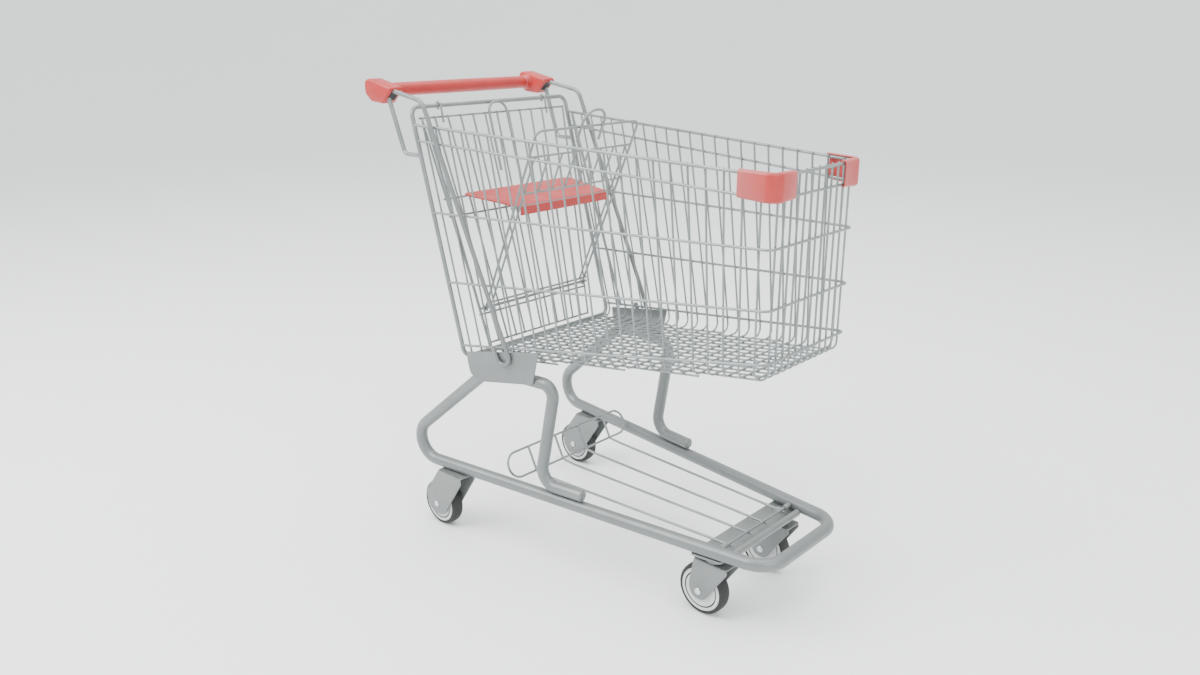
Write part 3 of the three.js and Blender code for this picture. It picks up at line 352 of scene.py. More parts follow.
def linear(code: str) -> tuple[float, float, float, float]:
    """Turns an sRGB hex colour into linear light.

    Args:
        code: six hex digits, such as "a9afaf".

    Returns:
        Linear red, green, blue, and an alpha of one.
    """
    values = [int(code[i:i + 2], 16) / 255 for i in (0, 2, 4)]
    r, g, b = (v / 12.92 if v <= 0.04045 else ((v + 0.055) / 1.055) ** 2.4 for v in values)
    return r, g, b, 1.0


@dataclass
class Graph:
    """A material's node graph.

    Attributes:
        material: the material being built.
    """

    material: bpy.types.Material

    def add(self, kind: str, settings: dict | None = None, **sockets: object) -> bpy.types.Node:
        """Adds one node, sets it up and links it.

        Args:
            kind: the node's type name.
            settings: node properties by name.
            **sockets: input sockets by name with underscores for spaces, each a value or an output to link.

        Returns:
            The new node.
        """
        tree = self.material.node_tree
        node = tree.nodes.new(kind)
        for name, value in (settings or {}).items():
            setattr(node, name, value)
        for name, value in sockets.items():
            key: int | str = int(name[1:]) if name[0] == "_" else name.replace("_", " ")
            socket = node.inputs[key]
            if isinstance(value, bpy.types.NodeSocket):
                tree.links.new(value, socket)
            else:
                socket.default_value = value
        return node

    def mix(self, share: bpy.types.NodeSocket, first: object, second: object) -> bpy.types.NodeSocket:
        """Blends two colours, each a value or an output, by a share, and returns the result's output."""
        return self.add("ShaderNodeMix", {"data_type": "RGBA"}, _0=share, _6=first, _7=second).outputs[2]

    def level(self, value: bpy.types.NodeSocket, **ends: float) -> bpy.types.NodeSocket:
        """Remaps a value between ends given as From_Min, From_Max, To_Min and To_Max."""
        return self.add("ShaderNodeMapRange", Value=value, **ends).outputs["Result"]


def blank(label: str) -> Graph:
    """Makes a material with no nodes in it.

    Args:
        label: the material's name.

    Returns:
        The empty material's graph.
    """
    material = bpy.data.materials.new(label)
    material.use_nodes = True
    material.node_tree.nodes.clear()
    return Graph(material)


def linked(name: str, data: bpy.types.ID) -> bpy.types.Object:
    """Makes an object of some data and puts it in the scene.

    Args:
        name: the object's name.
        data: its mesh, light or camera.

    Returns:
        The new object.
    """
    made = bpy.data.objects.new(name, data)
    bpy.context.scene.collection.objects.link(made)
    return made


@dataclass(frozen=True)
class Finish:
    """How a surface looks: two colours mixed by slow variation, a fine bump and a broken-up gloss.

    Attributes:
        label: the material's name.
        base: main colour, sRGB hex.
        shade: colour of the slow variation and of grime, sRGB hex.
        roughness: lowest and highest roughness.
        metallic: share of metal in the reflection.
        grain: size of the fine bump in millimetres.
        depth: height of the fine bump in millimetres.
        drift: size of the slow colour variation in millimetres.
        coat: strength of a clear top layer.
        sheen_edge: how much worn edges brighten, from 0 to 1.
        speckle: share of small pale or dark flecks.
    """

    label: str
    base: str
    shade: str
    roughness: tuple[float, float]
    metallic: float = 0.0
    grain: float = 1.0
    depth: float = 0.02
    drift: float = 60.0
    coat: float = 0.0
    sheen_edge: float = 0.0
    speckle: float = 0.0

    def build(self) -> bpy.types.Material:
        """Makes the material's nodes.

        Returns:
            The finished material.
        """
        graph = blank(self.label)
        place = graph.add("ShaderNodeTexCoord").outputs["Object"]
        # Slow drift: tone wanders over a hand's width, as on a part that has been handled and dusted.
        slow = graph.add("ShaderNodeTexNoise", Vector=place, Scale=1000 / self.drift, Detail=4.0,
                         Roughness=0.6).outputs["Fac"]
        tone = graph.level(slow, From_Min=0.35, From_Max=0.68)
        colour = graph.mix(tone, linear(self.base), linear(self.shade))
        fine = graph.add("ShaderNodeTexNoise", Vector=place, Scale=1000 / self.grain, Detail=3.0,
                         Roughness=0.55).outputs["Fac"]
        if self.speckle:
            # Flecks: small spots where pigment or dust gathers.
            spots = graph.add("ShaderNodeTexVoronoi", Vector=place, Scale=1000 / (4 * self.grain))
            near = graph.level(spots.outputs["Distance"], From_Min=0.0, From_Max=0.22, To_Min=self.speckle,
                               To_Max=0.0)
            colour = graph.mix(near, colour, linear(self.shade))
        if self.sheen_edge:
            # Edge wear: raised rims catch hands and other carts, so they rub paler.
            shape = graph.add("ShaderNodeNewGeometry")
            rim = graph.level(shape.outputs["Pointiness"], From_Min=0.52, From_Max=0.6,
                              To_Max=self.sheen_edge)
            worn = graph.add("ShaderNodeMath", {"operation": "MULTIPLY"}, _0=rim, _1=fine)
            colour = graph.mix(worn.outputs["Value"], colour, linear("e8e6e2"))
        # Gloss breaks up where fingers and dirt dull it.
        low, high = self.roughness
        gloss = graph.level(slow, From_Min=0.3, From_Max=0.7, To_Min=low, To_Max=high)
        bump = graph.add("ShaderNodeBump", Strength=1.0, Distance=self.depth * MM, Height=fine)
        shader = graph.add("ShaderNodeBsdfPrincipled", Base_Color=colour, Metallic=self.metallic,
                           Roughness=gloss, Coat_Weight=self.coat, Coat_Roughness=0.18,
                           Normal=bump.outputs["Normal"])
        graph.add("ShaderNodeOutputMaterial", Surface=shader.outputs["BSDF"])
        return graph.material


class Look(Enum):
    """The finishes on the cart."""

    # Lacquered tube: grey stoving lacquer with a faint orange-peel skin.
    TUBE = Finish("stoved_lacquer", "6e7373", "686d6c", (0.36, 0.48), 0.3, 2.2, 0.035, 90, coat=0.25,
                  sheen_edge=0.2)
    # Zinc wire under clear lacquer: bright, slightly grainy, duller in patches.
    WIRE = Finish("lacquered_zinc_wire", "848a8a", "777e7d", (0.3, 0.44), 0.5, 0.8, 0.012, 45, coat=0.3)
    # Pressed sheet: the lacquer is the tube's, a touch flatter.
    SHEET = Finish("lacquered_sheet", "6d7272", "666c6b", (0.42, 0.54), 0.25, 2.0, 0.03, 70, coat=0.15,
                   sheen_edge=0.3)
    # Moulded plastic, salmon red: satin with a spark-eroded grain and paler rubbed rims.
    RED = Finish("salmon_plastic", "ae2622", "a2201d", (0.36, 0.5), 0.0, 0.7, 0.03, 55, coat=0.12,
                 sheen_edge=0.25)
    # Grey tread rubber: matt, dusty, with trodden-in flecks.
    RUBBER = Finish("dusty_rubber", "1d1e1e", "272929", (0.62, 0.8), 0.0, 1.2, 0.05, 18, speckle=0.35)
    # Painted shade: a dark ring between the tread and the hub's middle, standing for the shade in the hub's
    # groove.
    GROOVE_SHADE = Finish("painted_groove_shade", "1a1b1b", "222323", (0.5, 0.65), 0.0, 1.0, 0.03, 20)
    # Moulded nylon hub: off-white, slightly waxy.
    NYLON = Finish("moulded_nylon", "cbcdce", "bfc2c2", (0.35, 0.5), 0.0, 1.2, 0.02, 30, speckle=0.1)
    # Bright zinc plate on bolts and bearings.
    ZINC = Finish("zinc_plate", "dfe3e3", "c3c8c8", (0.22, 0.36), 0.85, 0.5, 0.01, 12)
    # Painted shade: near-black standing for the shade inside sockets and gaps.
    SOCKET_SHADE = Finish("painted_socket_shade", "0e0f0f", "181919", (0.55, 0.7), 0.2, 1.0, 0.02, 20)

    @cache
    def material(self) -> bpy.types.Material:
        """Returns this finish's material, made on first use."""
        return self.value.build()


@dataclass
class Piece:
    """One visual piece, its finish, the body it rides on and the CAD nodes it stands for.

    Attributes:
        name: the object's name.
        shape: its surface in millimetres from the datum.
        look: its finish.
        body: the body it moves with.
        slot: a material slot's name; not used.
        stands_for: CAD nodes that it replaces.
        bevel: width in millimetres of rounded edges, or 0.
        smooth: largest angle in degrees that shades smoothly.
    """

    name: str
    shape: Surface
    look: Look
    body: str
    slot: str
    stands_for: tuple[str, ...] = ()
    bevel: float = 0.0
    smooth: float = 40.0

    def make(self) -> bpy.types.Object:
        """Makes the object.

        Returns:
            The new object, riding on its body.
        """
        mesh = bpy.data.meshes.new(self.name)
        mesh.from_pydata(to_frame(self.shape.verts).tolist(), [], self.shape.faces)
        mesh.validate()
        mesh.materials.append(self.look.material())
        mesh.shade_smooth()
        mesh.set_sharp_from_angle(angle=math.radians(self.smooth))
        made = linked(self.name, mesh)
        if self.bevel:
            edge = made.modifiers.new("edges", "BEVEL")
            edge.width = self.bevel * MM
            edge.segments = 2
            edge.limit_method = "ANGLE"
            edge.angle_limit = math.radians(35)
        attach(made, self.body)
        if self.stands_for:
            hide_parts(*self.stands_for)
        log.info("%s: %d faces on %s", self.name, len(mesh.polygons), self.body)
        return made


# ---------------------------------------------------------------- shared layout


@dataclass(frozen=True)
class Layout:
    """Sizes that several assemblies share, in millimetres from the datum.

    Attributes:
        rail_height: the base rail's middle line above the floor.
        rail_half: the rail's half spacing at the datum.
        taper: how far each rail runs in per millimetre of length.
        wall_rear: half width of the basket at its rear frame.
        wall_front: half width at the front corners' sharp points.
        front_x: the front hoops' middle line.
        frame_low: (x, z) of the rear frame's bottom rod.
        frame_high: (x, z) of its top rod.
        seat_hinge_z: height of the rod on the gate about which the seat back turns.
        seat_hinge_ahead: how far that rod lies ahead of the rear frame's plane.
    """

    rail_height: float = 155.0
    rail_half: float = 225.5
    taper: float = 0.1354
    wall_rear: float = 221.5
    wall_front: float = 131.5
    front_x: float = 768.0
    frame_low: tuple[float, float] = (91.0, 421.0)
    frame_high: tuple[float, float] = (-47.0, 924.0)
    seat_hinge_z: float = 511.0
    seat_hinge_ahead: float = 11.9

    @property
    def lean(self) -> float:
        """The rear frame's lean from upright, in radians."""
        (x0, z0), (x1, z1) = self.frame_low, self.frame_high
        return math.atan((x0 - x1) / (z1 - z0))

    @property
    def seat_hinge(self) -> tuple[float, float]:
        """(x, z) of the seat back's hinge rod."""
        x = self.frame_x(self.seat_hinge_z) + self.seat_hinge_ahead / math.cos(self.lean)
        return x, self.seat_hinge_z

    def rail_y(self, x: float | Array) -> float | Array:
        """Half spacing of the rails at x."""
        return self.rail_half - self.taper * x

    def frame_x(self, z: float) -> float:
        """The rear frame's x at a height."""
        (x0, z0), (x1, z1) = self.frame_low, self.frame_high
        return x0 + (x1 - x0) * (z - z0) / (z1 - z0)

    def wall(self, line: tuple[float, float], share: float, sign: float, inset: float = 0.0) -> Array:
        """A point on a basket wall.

        Args:
            line: a wall line's heights at the rear frame and at the front.
            share: from the rear frame (0) to the front corner (1).
            sign: LEFT or RIGHT.
            inset: how far inside the hoops' middle line.

        Returns:
            The point.
        """
        rear, front = line
        x = (1 - share) * self.frame_x(rear) + share * self.front_x
        y = (1 - share) * self.wall_rear + share * self.wall_front - inset
        return np.array([x, sign * y, (1 - share) * rear + share * front])


PLAN = Layout()


# ---------------------------------------------------------------- assemblies


@dataclass
class Chassis:
    """The tube base, its struts and side plates, the rear frame, the uprights and the handle stays.

    Attributes:
        rail: radius of the base rail.
        strut: radius of the front struts.
        upright: radius of the handle uprights.
        rod: radius of the rear frame.
        stay: radius of the handle stays.
        sheet: thickness of the side plates.
    """

    rail: float = 12.9
    strut: float = 12.5
    upright: float = 4.6
    rod: float = 4.6
    stay: float = 4.8
    sheet: float = 2.6

    def base(self) -> Surface:
        """The rail's closed front loop, with each end turned up behind into a leg.

        Returns:
            The rail: a circle carried along the bent path.
        """

        def corner(x: float, z: float, sign: float) -> tuple[float, float, float]:
            """A corner of the rail's middle line on one side."""
            return x, sign * PLAN.rail_y(x), z

        level = PLAN.rail_height
        path = bent([
            corner(128, 385, LEFT), corner(-140, level, LEFT), corner(791, level, LEFT),
            corner(791, level, RIGHT), corner(-140, level, RIGHT), corner(128, 385, RIGHT),
        ], (47, 52, 52, 47), 14)
        return tube(path, self.rail, 28)

    def strut_tube(self) -> Surface:
        """One front strut: out from the side plate, down, and along the rail.

        Returns:
            The left strut: a circle carried along its path.
        """
        foot = PLAN.rail_height + self.rail + self.strut + GAP
        points = [(x, PLAN.rail_y(x), z) for x, z in ((222, 403), (318, 402), (277, foot), (383, foot))]
        return tube(bent(points, (26, 34), 12), self.strut, 28)

    def plate(self) -> Surface:
        """One side plate: a sheet cut to its outline and sheared to run parallel to the rail.

        Returns:
            The left plate, each point shifted across by the rail's spacing at its x.
        """
        corners = [(103, 437), (107, 411), (112, 390), (142, 379), (276, 400), (292, 471)]
        flat = rounded_outline(corners, (2, 20, 14, 22, 3, 2), 6)
        plate = slab(flat, 0.0, self.sheet, "y")
        plate.verts[:, 1] += PLAN.rail_y(plate.verts[:, 0]) + self.rail + GAP
        return plate

    def upright_tube(self) -> Surface:
        """One upright: out of the handle cap, down outside the basket, and round under the side plate's hook.

        Returns:
            The left upright: a circle carried along its path.
        """

        def beside(x: float, z: float) -> tuple[float, float, float]:
            """A corner that lies against the side plate's outer face."""
            return x, PLAN.rail_y(x) + self.rail + GAP + self.sheet + self.upright + GAP, z

        points = [(-110, 223.3, 956), (-4, 224.9, 938), beside(200, 501), beside(228.5, 435),
                  beside(197, 428.5), beside(181, 463)]
        return tube(bent(points, (30, 60, 15.5, 15.5), 12), self.upright, 18)

    def stay_rod(self) -> Surface:
        """One handle stay: down out of the cap and bent in to the rear frame."""
        x = PLAN.frame_x(829) - 1.0
        return tube(bent([(-114, 226, 943), (x - 50, 223, 829), (x, 221.5, 829)], 14, 8), self.stay, 16)

    def frame_rod(self) -> Surface:
        """The rear frame: one rod bent into a closed rectangle that leans back with height.

        Returns:
            The closed rod: a circle carried round the rectangle.
        """
        (x0, z0), (x1, z1) = PLAN.frame_low, PLAN.frame_high
        y = PLAN.wall_rear
        corners = [(x0, 0, z0), (x0, y, z0), (x1, y, z1), (x1, -y, z1), (x0, -y, z0), (x0, 0, z0)]
        path = bent(corners, 19, 10)
        return tube(path[:-1], self.rod, 16, closed=True)

    def build(self) -> list[Piece]:
        """Makes the chassis pieces.

        Returns:
            The rail, the rear frame, and each side's strut, plate, upright and stay.
        """
        body, tube_slot, wire_slot = "chassis", "silver_lacquer", "grid_wire"
        made = [
            Piece("chassis_rail", self.base(), Look.TUBE, body, tube_slot, ("base_rail",)),
            Piece("rear_rectangle", self.frame_rod(), Look.WIRE, body, wire_slot, ("rear_frame",)),
        ]
        for word, sign in SIDES:
            made += [
                Piece(f"strut_{word}", self.strut_tube().mirrored(sign), Look.TUBE, body, tube_slot,
                      (f"front_strut_{word}",)),
                Piece(f"gusset_{word}", self.plate().mirrored(sign), Look.SHEET, body, tube_slot,
                      (f"side_plate_{word}",), bevel=0.5),
                Piece(f"handle_post_{word}", self.upright_tube().mirrored(sign), Look.TUBE, body, tube_slot,
                      (f"upright_{word}",)),
                Piece(f"cap_stay_{word}", self.stay_rod().mirrored(sign), Look.WIRE, body, wire_slot,
                      (f"handle_stay_{word}",)),
            ]
        return made


@dataclass
class CrossPlate:
    """The sheet under the rails that carries the front casters, with its rolled front lip.

    Attributes:
        rear_x: rear edge.
        front_x: front edge.
        top: height of its upper face.
    """

    rear_x: float = 636.0
    front_x: float = 700.0
    top: float = 141.0

    def build(self) -> list[Piece]:
        """Makes the plate and the lip.

        Returns:
            The plate, cut to a tapering outline, and the lip, a round bar along its front edge.
        """
        half_rear, half_front = PLAN.rail_y(self.rear_x) + 8, PLAN.rail_y(self.front_x) + 8
        flat = rounded_outline([(self.rear_x, -half_rear), (self.front_x, -half_front),
                                (self.front_x, half_front), (self.rear_x, half_rear)], 6, 6)
        sheet = slab(flat, self.top - 4, self.top, "z")
        lip_x = self.front_x + 7.3
        half = PLAN.rail_y(lip_x) - 16
        path = np.array([(lip_x, y, self.top + 7) for y in (-half, -half / 3, half / 3, half)])
        return [
            Piece("caster_plate", sheet, Look.SHEET, "chassis", "silver_lacquer", ("caster_cross_plate",),
                  bevel=0.6),
            Piece("rolled_lip", tube(path, 7.2, 20), Look.TUBE, "chassis", "silver_lacquer",
                  ("cross_plate_lip",)),
        ]


@dataclass
class Handle:
    """The push handle: a plastic sleeve over a steel core, closed by a moulded cap at each end.

    Attributes:
        x: the sleeve's middle line.
        z: its height.
        radius: the sleeve's radius.
        half: half the sleeve's length.
    """

    x: float = -156.0
    z: float = 953.0
    radius: float = 14.5
    half: float = 203.0

    def sleeve(self) -> Surface:
        """The grip: a turned sleeve with a shallow swell, rolled ends and a parting groove near each cap.

        Returns:
            A closed section turned about y: the radius follows a cosine, less a narrow bell curve near
            each end.
        """
        y = np.linspace(-self.half, self.half, 61)
        r = self.radius - 0.5 + 0.5 * np.cos(np.pi * y / self.half / 2)
        r -= 0.8 * np.exp(-((np.abs(y) - (self.half - 9)) / 1.3) ** 2)
        outer = list(zip(r, y))
        rolled = [(11.4, -self.half + 0.4), (12.6, -self.half)]
        ring = [*rolled, *outer[1:-1], (12.6, self.half), (11.4, self.half - 0.4)]
        return turned(ring, "y", (self.x, 0, self.z), 48, closed=True)

    def cap_outline(self, inset: float) -> Array:
        """The cap's side outline as (x, z) pairs, drawn in by an inset.

        Args:
            inset: how far each edge is drawn in.

        Returns:
            The rounded outline's points.
        """
        i = inset
        corners = [(-26 + i, 20 - i), (-10, 24 - i), (68 - i, 8 - i), (34 - i * 0.6, -25 + i), (-6, -22 + i),
                   (-26 + i, -7 + i)]
        placed = np.array(corners) + (self.x, self.z)
        return rounded_outline(placed, np.array([9, 14, 5, 5, 16, 14]) - 0.5 * i, 6)

    def cap(self) -> Surface:
        """One cap: its outline lofted across and drawn in over the last millimetres at both ends.

        Returns:
            The left cap.
        """
        inner, outer = self.half + 0.3, self.half + 33.9
        steps = [(inner, 3.4), (inner + 0.8, 1.3), (inner + 2.6, 0.0), (outer - 3.4, 0.0),
                 (outer - 1.0, 1.4), (outer, 3.8)]
        rings = []
        for y, inset in steps:
            flat = self.cap_outline(inset)
            rings.append(np.stack([flat[:, 0], np.full(len(flat), y), flat[:, 1]], -1))
        return loft(np.array(rings)[:, ::-1])

    def opening_shade(self) -> Surface:
        """Painted shade for the opening in a cap's slanted front, where the upright and the stay go in.

        Returns:
            A thin dark four-sided plug, just proud of the left cap's slanted face, that stands for the shade
            inside the opening.
        """
        inner, outer = self.half + 7, self.half + 27
        out = np.array([0.288, 0, -0.276])
        front = out + [(self.x + x, y, self.z + z) for x, y, z in (
            (59.5, inner, -0.3), (59.5, outer, -0.3), (41.2, outer, -18.0), (41.2, inner, -18.0))]
        return loft(np.array([front - 4 * out, front]))

    def collar(self) -> Surface:
        """The flare at a cap's inner face, round the sleeve's end.

        Returns:
            A closed section turned about y at the left cap.
        """
        y = self.half
        rings = [(14.2, y - 11), (14.9, y - 10.5), (15.6, y - 6), (16.7, y - 2.5), (18.2, y + 0.2),
                 (18.2, y + 1.6), (14.2, y + 1.6)]
        return turned(rings, "y", (self.x, 0, self.z), 48, closed=True)

    def build(self) -> list[Piece]:
        """Makes the handle pieces.

        Returns:
            The sleeve, and each side's cap, flare and painted opening shade.
        """
        made = [Piece("grip_sleeve", self.sleeve(), Look.RED, "chassis", "red_plastic", ("handle_grip",))]
        for word, sign in SIDES:
            made += [
                Piece(f"grip_cap_{word}", self.cap().mirrored(sign), Look.RED, "chassis", "red_plastic",
                      (f"handle_cap_{word}",), smooth=50),
                Piece(f"cap_collar_{word}", self.collar().mirrored(sign), Look.RED, "chassis", "red_plastic"),
                # Painted shade: a dark plug on the cap's face stands for the shade inside its opening.
                Piece(f"cap_opening_shade_{word}", self.opening_shade().mirrored(sign), Look.SOCKET_SHADE, "chassis", "red_plastic"),
            ]
        return made


@dataclass
class Basket:
    """The welded wire basket: five hoops, upright wires that turn in under the floor, and the floor grid.

    Attributes:
        hoops: each hoop's heights at the rear frame and at the front, and its radius.
        wire: radius of the upright and floor wires.
        bend: radius of the turn from wall to floor.
        corner: radius of the basket's front corners.
        side_wires: upright wires in each side.
        front_wires: upright wires in the front.
        front_pitch: spacing of the front wires.
    """

    hoops: tuple[tuple[float, float, float], ...] = (
        (889.5, 856.0, 3.0), (858.5, 819.5, 2.5), (716.0, 737.5, 2.5), (575.5, 634.5, 2.5),
        (446.0, 541.0, 2.5),
    )
    wire: float = 2.0
    bend: float = 18.0
    corner: float = 16.0
    side_wires: int = 23
    front_wires: int = 12
    front_pitch: float = 20.8

    @property
    def floor(self) -> tuple[float, float]:
        """Heights of the floor's cross wires at the rear frame and at the front."""
        return self.hoops[-1][0] - 26, self.hoops[-1][1] - 29

    @property
    def inset(self) -> float:
        """From a hoop's middle line in to an upright wire's."""
        return self.hoops[-1][2] + self.wire - SINK

    def run_z(self, x: float) -> float:
        """Height of the floor's lengthwise wires at x.

        Args:
            x: the place along the cart.

        Returns:
            The height: a straight line from rear to front, one wire lap below the cross wires.
        """
        rear, front = self.floor
        rear_x = PLAN.frame_x(rear)
        return rear + (front - rear) / (PLAN.front_x - rear_x) * (x - rear_x) - lap(self.wire)

    def hoop(self, rear: float, front: float, radius: float) -> Surface:
        """One hoop, welded to the rear frame on both sides and bent round the front corners.

        Args:
            rear: its height at the rear frame.
            front: its height at the front.
            radius: its wire's radius.

        Returns:
            The hoop: a circle carried along its path.
        """
        line = (rear, front)
        gap = np.array([4.0, 0, 0])
        path = bent([PLAN.wall(line, 0, LEFT) + gap, PLAN.wall(line, 1, LEFT), PLAN.wall(line, 1, RIGHT),
                     PLAN.wall(line, 0, RIGHT) + gap], self.corner, 10)
        return tube(path, radius, 14)

    def side_wire(self, share: float, sign: float) -> Surface:
        """One upright wire: down the wall, round the bend, and across under the floor to meet its twin.

        Args:
            share: its place from the rear frame (0) to the front corner (1).
            sign: LEFT or RIGHT.

        Returns:
            The wire.
        """
        top = PLAN.wall(self.hoops[0][:2], share, sign, self.inset)
        foot = PLAN.wall(self.floor, share, sign, self.inset)
        along = unit(top - foot)
        path = bent([top + along * 2.6, foot, foot * (1, 0, 1)], self.bend, 7)
        return tube(path[:-1] if sign < 0 else np.vstack([path[:-1], foot * (1, -0.9, 1)]), self.wire, 10)

    def shares(self) -> Array:
        """Where the side wires stand, from the rear frame (0) to the front corner (1)."""
        return np.linspace(0.026, 0.968, self.side_wires)

    def front_wire(self, y: float) -> Surface:
        """One front wire: down the front wall, round the bend, and back along the floor to the rear frame.

        Args:
            y: its place across the cart.

        Returns:
            The wire.
        """
        front, rear = PLAN.front_x - self.inset, PLAN.frame_x(self.floor[0]) + 4
        path = bent([(front, y, self.hoops[0][1] + 3.4), (front, y, self.run_z(front)),
                     (rear, y, self.run_z(rear))], self.bend, 7)
        return tube(path, self.wire, 10)

    def edge_wire(self, y: float) -> Surface:
        """A floor wire outside the front's width: it runs from the rear frame to where the wall cuts it off.

        Args:
            y: its place across the cart.

        Returns:
            The wire.
        """
        rear_x = PLAN.frame_x(self.floor[0])
        share = (PLAN.wall_rear - 14 - abs(y)) / (PLAN.wall_rear - PLAN.wall_front)
        ends = [(x, y, self.run_z(x)) for x in (rear_x + 4, rear_x + share * (PLAN.front_x - rear_x))]
        return rod(*ends, self.wire)

    def stiffener(self) -> Surface:
        """The thick wire beside the upright that the gate closes against.

        Returns:
            The left wire.
        """
        top = PLAN.wall(self.hoops[0][:2], 0.036, LEFT, 9.6)
        low = PLAN.wall(self.hoops[-1][:2], 0.098, LEFT, 9.6)
        return rod(top - (0, 0, 2), low, 3.1, 14)

    def welds(self) -> Surface:
        """A small flattened bead at each crossing of hoop and upright wire, where the weld squeezes out.

        Returns:
            All the beads: one coarse ellipsoid of four rings, repeated at each crossing.
        """
        spots = [0.5 * (PLAN.wall(line[:2], share, sign, 0.0) + PLAN.wall(line[:2], share, sign, self.inset))
                 for line in self.hoops for share in self.shares() for sign in (LEFT, RIGHT)]
        turns = 2 * np.pi * np.arange(6) / 6
        size = np.array([3.3, 2.2, 3.3])
        rings = np.array([[(math.sin(p) * math.cos(a), math.cos(p), math.sin(p) * math.sin(a)) for a in turns]
                          for p in (0.5, 1.2, 1.95, 2.65)]) * size
        bead = loft(rings[:, ::-1])
        return Surface.joined(bead.moved(spot) for spot in spots)

    def build(self) -> list[Piece]:
        """Makes the basket pieces.

        Returns:
            The hoops, the wall, front and floor wires, the welds and the stiff wires.
        """
        body, slot = "chassis", "grid_wire"
        front = (np.arange(self.front_wires) - (self.front_wires - 1) / 2) * self.front_pitch
        outer = [sign * y for sign in (LEFT, RIGHT) for y in (135.2, 156.0, 176.8, 197.6)]
        walls = [self.side_wire(s, sign) for s in self.shares() for sign in (LEFT, RIGHT)]
        made = [
            Piece("basket_hoops", Surface.joined(self.hoop(*h) for h in self.hoops), Look.WIRE, body, slot,
                  ("basket_side_left", "basket_side_right")),
            Piece("wall_wires", Surface.joined(walls), Look.WIRE, body, slot),
            Piece("front_wires", Surface.joined(self.front_wire(y) for y in front), Look.WIRE, body, slot,
                  ("basket_front",)),
            Piece("floor_wires", Surface.joined(self.edge_wire(y) for y in outer), Look.WIRE, body, slot,
                  ("basket_floor",)),
            Piece("basket_welds", self.welds(), Look.WIRE, body, slot),
        ]
        for word, sign in SIDES:
            made.append(Piece(f"stiff_wire_{word}", self.stiffener().mirrored(sign), Look.WIRE, body, slot,
                              (f"basket_stiffener_{word}",)))
        return made


@dataclass
class Bumpers:
    """The plastic shells clipped over the basket's two top front corners.

    Attributes:
        height: from lower to upper edge.
        side: length back along the side wall.
        front: length along the front wall.
        offset: from the hoops' middle line to the shell's outer face.
    """

    height: float = 49.0
    side: float = 64.0
    front: float = 52.0
    offset: float = 8.4

    def shell(self) -> Surface:
        """One shell: a C-shaped section, its lips turned in over the wires, swept round the corner.

        Returns:
            The left shell: each ring is a path point plus the section laid out along the outward and
            upward axes there.
        """
        rim = Basket.hoops[0][:2]
        corner, rear = PLAN.wall(rim, 1, LEFT), PLAN.wall(rim, 0, LEFT)
        along = unit(rear - corner)
        path = bent([corner + along * self.side, corner, corner - (0, self.front, 0)], 16, 12)
        out = unit(np.cross((0, 0, 1.0), tangents(path)))
        top, low, o = 6.2, 6.2 - self.height, self.offset
        section = rounded_outline([
            (-3.5, top), (o, top), (o, low), (0.5, low), (0.5, low + 2.6), (o - 2.8, low + 2.6),
            (o - 2.8, top - 2.6), (-3.5, top - 2.6),
        ], (1.0, 5.0, 5.0, 1.0, 1.0, 2.2, 2.2, 1.0), 5)
        swept = section[None, :, :1] * out[:, None] + section[None, :, 1:] * np.array([0, 0, 1.0])
        # The two end rings are drawn in by a twentieth, which eases the shell's ends.
        swept[[0, -1]] *= 0.95
        return loft(path[:, None] + swept).flipped()

    def build(self) -> list[Piece]:
        """Returns the two shells."""
        return [Piece(f"corner_shell_{word}", self.shell().mirrored(sign), Look.RED, "chassis", "red_plastic",
                      (f"corner_bumper_{word}",), smooth=45) for word, sign in SIDES]


